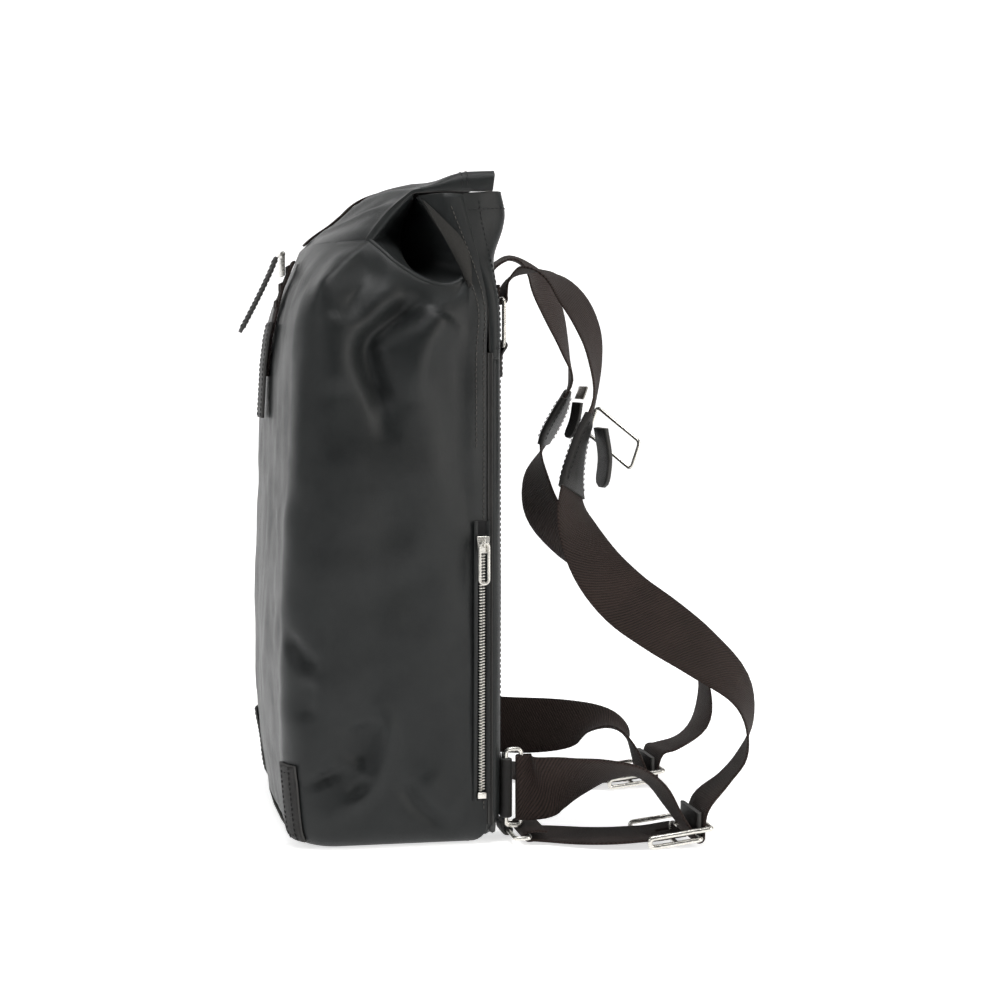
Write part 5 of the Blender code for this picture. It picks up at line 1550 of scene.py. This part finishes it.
# %% Buckles and prongs
def make_buckle(side, hand):
    half, end = WEB_WIDTH / 2 + 0.0025 + FRAME_WIRE / 2, BUCKLE_LONG / 2

    def at(across, along, up):
        return buckle_point(side, across, along, up)

    beyond = end + 0.0084
    corners = [at(-half, end, 0), at(half, end, 0), at(half, -end, 0), at(half, -end, DECK),
               at(half, beyond, DECK), at(-half, beyond, DECK), at(-half, -end, DECK), at(-half, -end, 0)]
    frame_piece = wire("buckle_loop_" + hand, corners, FRAME_WIRE / 2, NICKEL, bend=0.0030)
    settle(frame_piece, "bag", "nickel", "buckle_frame_" + hand)
    bar = wire("buckle_bar_" + hand, [at(0.0005 - half, BAR_ALONG, 0), at(0, BAR_ALONG, 0),
                                      at(half - 0.0005, BAR_ALONG, 0.0001)], FRAME_WIRE / 2 - 0.0002, NICKEL,
               bend=0.002, link=False)
    settle(bar, "bag", "nickel")
    eye = FRAME_WIRE / 2 + GAP + PRONG / 2
    curl = [at(0, BAR_ALONG + a, b) for a, b in arc((0, 0), eye, -210, 0, 14)]
    hooked = arc((eye + PRONG, 0.0068), PRONG, 180, 68, 5)
    stem = [at(0, BAR_ALONG + a, b) for a, b in hooked + [(eye + 0.0058, 0.0062)]]
    prong = wire("prong_" + hand, curl + stem, PRONG / 2, NICKEL, bend=0.00035, link=False, sides=12)
    settle(prong, "prong_" + hand, "nickel", "buckle_prong_" + hand)
    x, y, z = at(0, end, 0)
    low = z + FRAME_WIRE / 2 + GAP + 0.0005
    bound = flat(x, [(y, low + 0.0144 * k / 10) for k in range(11)])
    stub = ribbon("web_stub_" + hand, bound, WEB_WIDTH - 0.001, 0.0032, [TRIM, CUT], wide=8)
    settle(stub, "bag", "trim_leather", "web_end_" + hand)
    rows = [[(x + u, y + 0.0017, low + h) for u in np.linspace(-0.019, 0.019, 12)] for h in (0.0040, 0.0100)]
    stitches("stub_thread_" + hand, rows, "bag")


for side, hand in HANDS:
    make_buckle(side, hand)

# %% [markdown]
# ## Rings and their leather tabs
# Six wire rings join the webs to the back. A folded leather tab holds each one and is sewn down.


# %% Rings and tabs
TAB_LEATHER = 0.0022
HUG_TAB = RING_WIRE / 2 + GAP + TAB_LEATHER / 2 + 0.0002


def wire_ring(name, corners, bend):
    settle(wire(name + "_wire", corners, RING_WIRE / 2, NICKEL, bend=bend, sides=16), "bag", "nickel", name)


def tab_piece(name, route, width):
    body = ribbon(name + "_leather", dense(route, 4), width, TAB_LEATHER, [TRIM, CUT], wide=7)
    return settle(body, "bag", "trim_leather", name)


def level_tab(name, x, bar, width, up, long=0.0220):
    """Loop round a level bar with its ends sewn to the back above or below."""
    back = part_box(name)[0].y
    near = back + TAB_LEATHER / 2
    far = near + TAB_LEATHER + 0.0003
    line = [(near, bar[1] + up * long), (near, bar[1] + up * (HUG_TAB + 0.001))]
    line += arc(bar, HUG_TAB, 180, 0 if up < 0 else 360, 9)
    if long > HUG_TAB + 0.006:
        line.append((max(far, bar[0] - 0.001), bar[1] + up * (HUG_TAB + 0.004)))
    line.append((far, bar[1] + up * long))
    tab_piece(name, flat(x, line), width)
    face = far + TAB_LEATHER / 2 + 0.0002
    half = width / 2 - 0.0030
    inner, outer = bar[1] + up * (HUG_TAB + 0.0055), bar[1] + up * (long - 0.0025)
    lines = [[(x - half, face, inner), (x + half, face, inner)],
             [(x - half, face, outer), (x + half, face, outer)],
             [(x - half, face, inner), (x - half, face, outer)],
             [(x + half, face, inner), (x + half, face, outer)],
             [(x - half, face, inner), (x + half, face, outer)],
             [(x + half, face, inner), (x - half, face, outer)]]
    stitches(name + "_thread", lines, "bag")


def upright_tab(name, side, bar):
    """Loop round the lower ring's upright bar with its ends sewn flat to the back."""
    x, y = bar
    sewn = back_y(x - side * 0.024, LOWER_RING_Z) + GAP + TAB_LEATHER / 2 + 0.0008
    far = TAB_LEATHER + 0.0003
    line = [(x - side * 0.024, sewn), (x - side * 0.006, y - HUG_TAB + 0.0002)]
    line += [(x + side * px, y + py) for px, py in arc((0, 0), HUG_TAB, -90, 90, 9)]
    line += [(x - side * 0.006, max(y - HUG_TAB + far, y + 0.0004)), (x - side * 0.024, sewn + far)]
    tab_piece(name, [(px, py, LOWER_RING_Z, 0.0, 0.0, 1.0) for px, py in line], WEB_WIDTH - 0.004)
    face = sewn + far + TAB_LEATHER / 2 + 0.0004
    low, high = LOWER_RING_Z - 0.0175, LOWER_RING_Z + 0.0175
    xs = (x - side * 0.0215, x - side * 0.0110)
    lines = [[(px, face, low), (px, face, high)] for px in xs]
    lines += [[(xs[0], face, pz), (xs[1], face, pz)] for pz in (low, high)]
    stitches(name + "_thread", lines, "bag")


for side, hand in HANDS:
    x, y = place(side, UPPER_RING_IN), ring_bar("upper_ring", hand)[1]
    low = UPPER_RING_Z - RING_TALL
    wire_ring("upper_ring_" + hand, [(x - RING_HALF, y, UPPER_RING_Z), (x + RING_HALF, y, UPPER_RING_Z),
                                     (x + RING_HALF, y, low), (x - RING_HALF, y, low)], 0.0045)
    level_tab("upper_tab_" + hand, x, (y, low), WEB_WIDTH - 0.003, -1)
    x, y = place(side, LOWER_RING_IN), ring_bar("lower_ring", hand)[1]
    far, low, high = y + RING_DEEP, LOWER_RING_Z - RING_HALF, LOWER_RING_Z + RING_HALF
    wire_ring("lower_ring_" + hand, [(x, y, low), (x, far, low), (x, far, high), (x, y, high)], 0.0035)
    upright_tab("lower_tab_" + hand, side, (x, y))
    x, y = place(side, BASE_RING_IN), ring_bar("base_ring", hand)[1]
    left, right, far = x - RING_HALF, x + RING_HALF, y + RING_DEEP
    level = [(left, y), (right, y), (right, far), (left, far)]
    wire_ring("base_ring_" + hand, [(px, py, BASE_RING_Z) for px, py in level], 0.0035)
    level_tab("base_tab_" + hand, x - side * 0.012, (y, BASE_RING_Z), 0.022, 1, 0.0058)
print("rings and tabs made")

# %% [markdown]
# ## Chest clasp
# A leather keeper slides on each shoulder web. The right one holds a metal frame, and the left one
# carries a plate hook on a stitched pocket.

# %% Keepers and clasp
for side, hand in HANDS:
    low, high = KEEPER_Z[side]
    run = STRAPS[side]
    part = np.array([p for p in run if low <= p[2] <= high and p[1] < 0.20])
    keeper = loop_sleeve("keeper_" + hand, part, WEB_WIDTH + 0.0012, WEB + 0.0012, 0.0017, [TRIM, CUT])
    settle(keeper, "bag", "trim_leather", "chest_keeper_" + hand)
    centre, across, normal = sections(part)
    lines = []
    for face in (1, -1):
        for u in (-0.0205, 0.0205):
            lines.append(centre[1:-1] + across[1:-1] * u + normal[1:-1] * face * (WEB / 2 + 0.0024))
    stitches("keeper_thread_" + hand, lines, "bag")

CLASP_LOOP = (SEAM_X - 0.040, 0.1585, 0.2635)
CLASP_TONGUE = (0.064 - SEAM_X, 0.1785, 0.2860)
CLASP_FRAME = np.array([SEAM_X - 0.056, 0.172, 0.277])
ACROSS, UPRIGHT = np.array((0.028, 0.0245, -0.0245)) / 2, np.array((0.0, 0.0065, 0.0195)) / 2
corners = [CLASP_FRAME + a * ACROSS + b * UPRIGHT for a, b in ((-1, 1), (1, 1), (1, -1), (-1, -1))]
settle(wire("clasp_link", corners, 0.0013, NICKEL, bend=0.0036), "frame_right", "nickel", "clasp_frame")


def rounded_plate(name, route, width, thick, materials, round_by):
    """A strap piece whose far end is rounded like a tongue."""
    body = ribbon(name, dense(route, 8), width, thick, materials, wide=12)
    centre, across, normal = sections(dense(route, 8))
    run = np.concatenate([[0], np.cumsum(np.linalg.norm(np.diff(centre, axis=0), axis=1))])
    for v in body.data.vertices:
        p = np.array(v.co)
        k = int(np.argmin(np.linalg.norm(centre - p, axis=1)))
        left = max(round_by - (run[-1] - run[k]), 0.0) / round_by
        u = float((p - centre[k]) @ across[k])
        v.co = Vector(p - across[k] * u * (1 - math.sqrt(max(1 - left ** 2, 0.0)) * 0.75 - 0.25))
    return body


x, y, z = CLASP_LOOP
loop_run = flat(x, [(y, z + 0.021), (y + 0.0030, z), (y + 0.0008, z - 0.021)])
settle(rounded_plate("clasp_strap", loop_run, 0.034, 0.0034, [TRIM, CUT], 0.009),
       "bag", "trim_leather", "clasp_loop")
x, y, z = CLASP_TONGUE
tongue_run = flat(x, [(y + 0.0030, z + 0.014), (y + 0.0006, z), (y - 0.0048, z - 0.014)])
settle(rounded_plate("clasp_pocket", tongue_run, 0.030, 0.0028, [TRIM, CUT], 0.006),
       "bag", "trim_leather", "clasp_tongue")
y, z = y + 0.0042, z + 0.0165
hook_run = flat(x, [(y, z), (y + 0.0020, z + 0.0050), (y + 0.0036, z + 0.0100)])
settle(ribbon("clasp_plate", dense(hook_run, 6), 0.028, 0.0020, [NICKEL], wide=8),
       "hook_left", "nickel", "clasp_hook")

# %% [markdown]
# ## Closing strap, hook and front pieces
# A narrow web runs down the middle of the mouth to the fold, where a metal hook drops behind a
# ladder web. A stiff leather tab on the hook is what a hand pulls.


# %% Closing strap and hook
def front_face(z, lift):
    return (float(np.interp(z, FRONT_LINE[:, 0], FRONT_LINE[:, 1])) - lift, z)


def over_flap():
    """The web's line follows the front wall at its middle, a web's half thickness above it."""
    column = FLAP[:, FLAP_COLUMNS]
    run = unit(np.gradient(column, axis=0))
    lift = np.stack([np.zeros(len(run)), -run[:, 2], run[:, 1]], axis=1) * (WEB / 2 + 0.0006)
    line = (column + lift)[2:int(FLAP_ROWS * 0.97)]
    return [(0.0, p[1], p[2], 1.0, 0.0, 0.0) for p in line]


closing = over_flap()
web_piece = ribbon("closing_web", closing, NARROW_WEB, WEB, [WEBBING], wide=8)
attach(web_piece, "mouth")
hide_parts("closing_strap")

HOOK_LOW, HOOK_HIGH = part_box("closure_hook")
hook_y = (HOOK_LOW.y + HOOK_HIGH.y) / 2


def hook_piece():
    """Plate with rounded corners and a rolled top edge."""
    plate = block("hook_plate", (HOOK_LOW.x, hook_y - 0.0011, HOOK_LOW.z),
                  (HOOK_HIGH.x, hook_y + 0.0011, HOOK_HIGH.z),
                  NICKEL, 0.0009)
    bar = wire("hook_roll", [(HOOK_LOW.x + 0.0006, hook_y - 0.0004, HOOK_HIGH.z - 0.0012),
                             (0, hook_y - 0.0004, HOOK_HIGH.z - 0.0012),
                             (HOOK_HIGH.x - 0.0006, hook_y - 0.0004, HOOK_HIGH.z - 0.00119)],
               0.0019, NICKEL, bend=0.002,
               link=False, sides=16)
    settle(plate, "hook", "nickel", "closure_hook")
    settle(bar, "hook", "nickel")


hook_piece()
TAB_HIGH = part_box("pull_tab")[1]
tab_thick = 0.0026
ahead, top = TAB_HIGH.y - tab_thick / 2 - 0.0003, TAB_HIGH.z - 0.0006
tab_line = [(ahead - 0.0265 * t ** 1.12, top - 0.0545 * t) for t in np.linspace(0, 1, 13)]
tab_run = dense(flat(0.0, tab_line), 3)
pull_tab = rounded_plate("pull_tab_leather", flat(0.0, tab_line), 0.019, tab_thick, [TRIM, CUT], 0.006)
settle(pull_tab, "hook", "trim_leather", "pull_tab")
tab_centre, tab_across, tab_normal = sections(tab_run)
tab_rows = [tab_centre[2:-3] + tab_across[2:-3] * u + tab_normal[2:-3] * s * (tab_thick / 2 + 0.0002)
            for u in (-0.0070, 0.0070) for s in (-1, 1)]
stitches("pull_tab_thread", tab_rows, "hook")

# %% [markdown]
# The ladder is a web with raised rungs, which runs down the front and under a stitched leather patch.

# %% Ladder web and patch
LADDER_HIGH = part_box("ladder_web")[1]
PATCH_LOW, PATCH_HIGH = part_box("front_patch")
ladder_run = flat(0.0, [front_face(z, WEB / 2 + 0.0012)
                        for z in np.linspace(PATCH_LOW.z + 0.03, LADDER_HIGH.z, 40)])
settle(ribbon("ladder", ladder_run, NARROW_WEB, WEB, [WEBBING], wide=8), "bag", "webbing", "ladder_web")
for k in range(3):
    z = LADDER_HIGH.z - 0.006 - 0.0125 * k
    at = front_face(z, WEB + 0.0018)
    rung = ribbon(f"rung_{k}",
                  [(s, at[0], at[1], 0.0, 0.0, 1.0) for s in np.linspace(-0.0122, 0.0122, 9)], 0.0060,
                  0.0012, [WEBBING], wide=5)
    settle(rung, "bag", "webbing")
patch_run = flat(0.0, [front_face(z, 0.0022 + WEB + 0.0008)
                       for z in np.linspace(PATCH_HIGH.z, PATCH_LOW.z, 30)])
patch = ribbon("patch_leather", patch_run, 0.038, 0.0026, [TRIM, CUT], wide=12)
settle(patch, "bag", "trim_leather", "front_patch")
centre, across, normal = sections(np.array(patch_run))
face = 1.0 if normal[5, 1] < 0 else -1.0
lines = [centre[1:-1] + across[1:-1] * u + normal[1:-1] * face * 0.0015 for u in (-0.0160, 0.0160)]
for k in (1, -2):
    lines.append([centre[k] + across[k] * u + normal[k] * face * 0.0015
                  for u in np.linspace(-0.016, 0.016, 9)])
stitches("patch_thread", lines, "bag")


# %% [markdown]
# A guard lies on the wrap's own surface, so it takes every swelling of the leather under it.

# %% Corner patches
PATCH_REACH = 0.0080       # how far back round the corner the guard reaches


def surface_patch(side, name, node):
    """Guard that lies on the wrap's own surface round a front bottom corner."""
    low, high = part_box(node)
    half = WRAP[:, :STRIP_COLUMNS + RIDGE_COLUMNS + LIP_COLUMNS + TURN_COLUMNS + 1]
    if side < 0:
        half = WRAP[:, ::-1][:, :half.shape[1]]
    middle = half[int(np.argmin(np.abs(half[:, -1, 2] - high.z * 0.7)))]
    start = int(np.argmax(middle[:, 1] < middle[:, 1].min() + PATCH_REACH))
    levels = np.linspace(low.z + 0.0012, high.z + 0.002, 30)
    rows = []
    for z in levels:
        row = []
        for c in range(start, half.shape[1]):
            column = half[:, c]
            row.append([np.interp(z, column[:60, 2], column[:60, k]) for k in range(3)])
        rows.append(row)
    grid = np.array(rows)
    sign = WRAP_SIGN if side > 0 else -WRAP_SIGN
    out = grid_normals(grid) * sign
    if out[15, 2, 0] * side < 0:
        out, sign = -out, -sign
    thick = 0.0020
    grid = grid + out * (GAP + thick)
    body = wall(name, grid, thick, [TRIM, CUT, SUEDE], sign, 60)
    settle(body, "bag", "trim_leather", node)
    lines = []
    for inset in (3, -4):
        lines.append(grid[1:-1, inset] + out[1:-1, inset] * 0.0003)
    lines.append(grid[-4, 3:-3] + out[-4, 3:-3] * 0.0003)
    lines.append(grid[2, 3:-3] + out[2, 3:-3] * 0.0003)
    stitches(name + "_thread", lines, "bag")


surface_patch(1, "corner_guard_right", "corner_patch_right")
surface_patch(-1, "corner_guard_left", "corner_patch_left")

# %% [markdown]
# ## Thread on the leather
# The hems and seams are the last things to go on: two rows along the flap's hem, one under the back
# rim, one on each side of the rear seams and one down the strip by the zip.


# %% Seam thread
def on_flap(row, lift=0.0003):
    out = grid_normals(FLAP)
    if out[FLAP_ROWS // 2, FLAP_COLUMNS, 2] < 0:
        out = -out
    return FLAP[row, 2:-2] + out[row, 2:-2] * lift


for k, share in enumerate((0.785, 0.812)):
    line = on_flap(int(FLAP_ROWS * share))
    stitches(f"hem_thread_{k}", [line], "mouth")

yoke_out = grid_normals(YOKE) * facing(YOKE, 1, 1.0)
yoke_lines = [YOKE[int(YOKE_ROWS * 0.885), 2:-2] + yoke_out[int(YOKE_ROWS * 0.885), 2:-2] * 0.0003,
              YOKE[3, 2:-2] + yoke_out[3, 2:-2] * 0.0003]
for inset in (5, -6):
    yoke_lines.append(YOKE[2:-3, inset] + yoke_out[2:-3, inset] * 0.0003)
stitches("yoke_thread", yoke_lines, "bag")
panel_out = grid_normals(PANEL) * facing(PANEL, 1, 1.0)
panel_lines = [PANEL[4:-2, inset] + panel_out[4:-2, inset] * 0.0003 for inset in (6, -7)]
stitches("panel_thread", panel_lines, "bag")
wrap_out = grid_normals(WRAP) * WRAP_SIGN
strip_lines = []
for column in (3, -4):
    strip_lines.append(WRAP[10:-3, column] + wrap_out[10:-3, column] * 0.0003)
ridge_column = STRIP_COLUMNS + 2
for column in (ridge_column, -ridge_column - 1):
    strip_lines.append(WRAP[int(ROWS * 0.62):-2, column] + wrap_out[int(ROWS * 0.62):-2, column] * 0.0003)
stitches("strip_thread", strip_lines, "bag", PALE_THREAD)
print("thread made")

# %% Finish
VISUAL_BOX = [list(corner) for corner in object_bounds()]
for label, box in (("frame", CAD_BOX), ("visible", VISUAL_BOX)):
    print(label, [[round(v * 1000, 1) for v in corner] for corner in box])
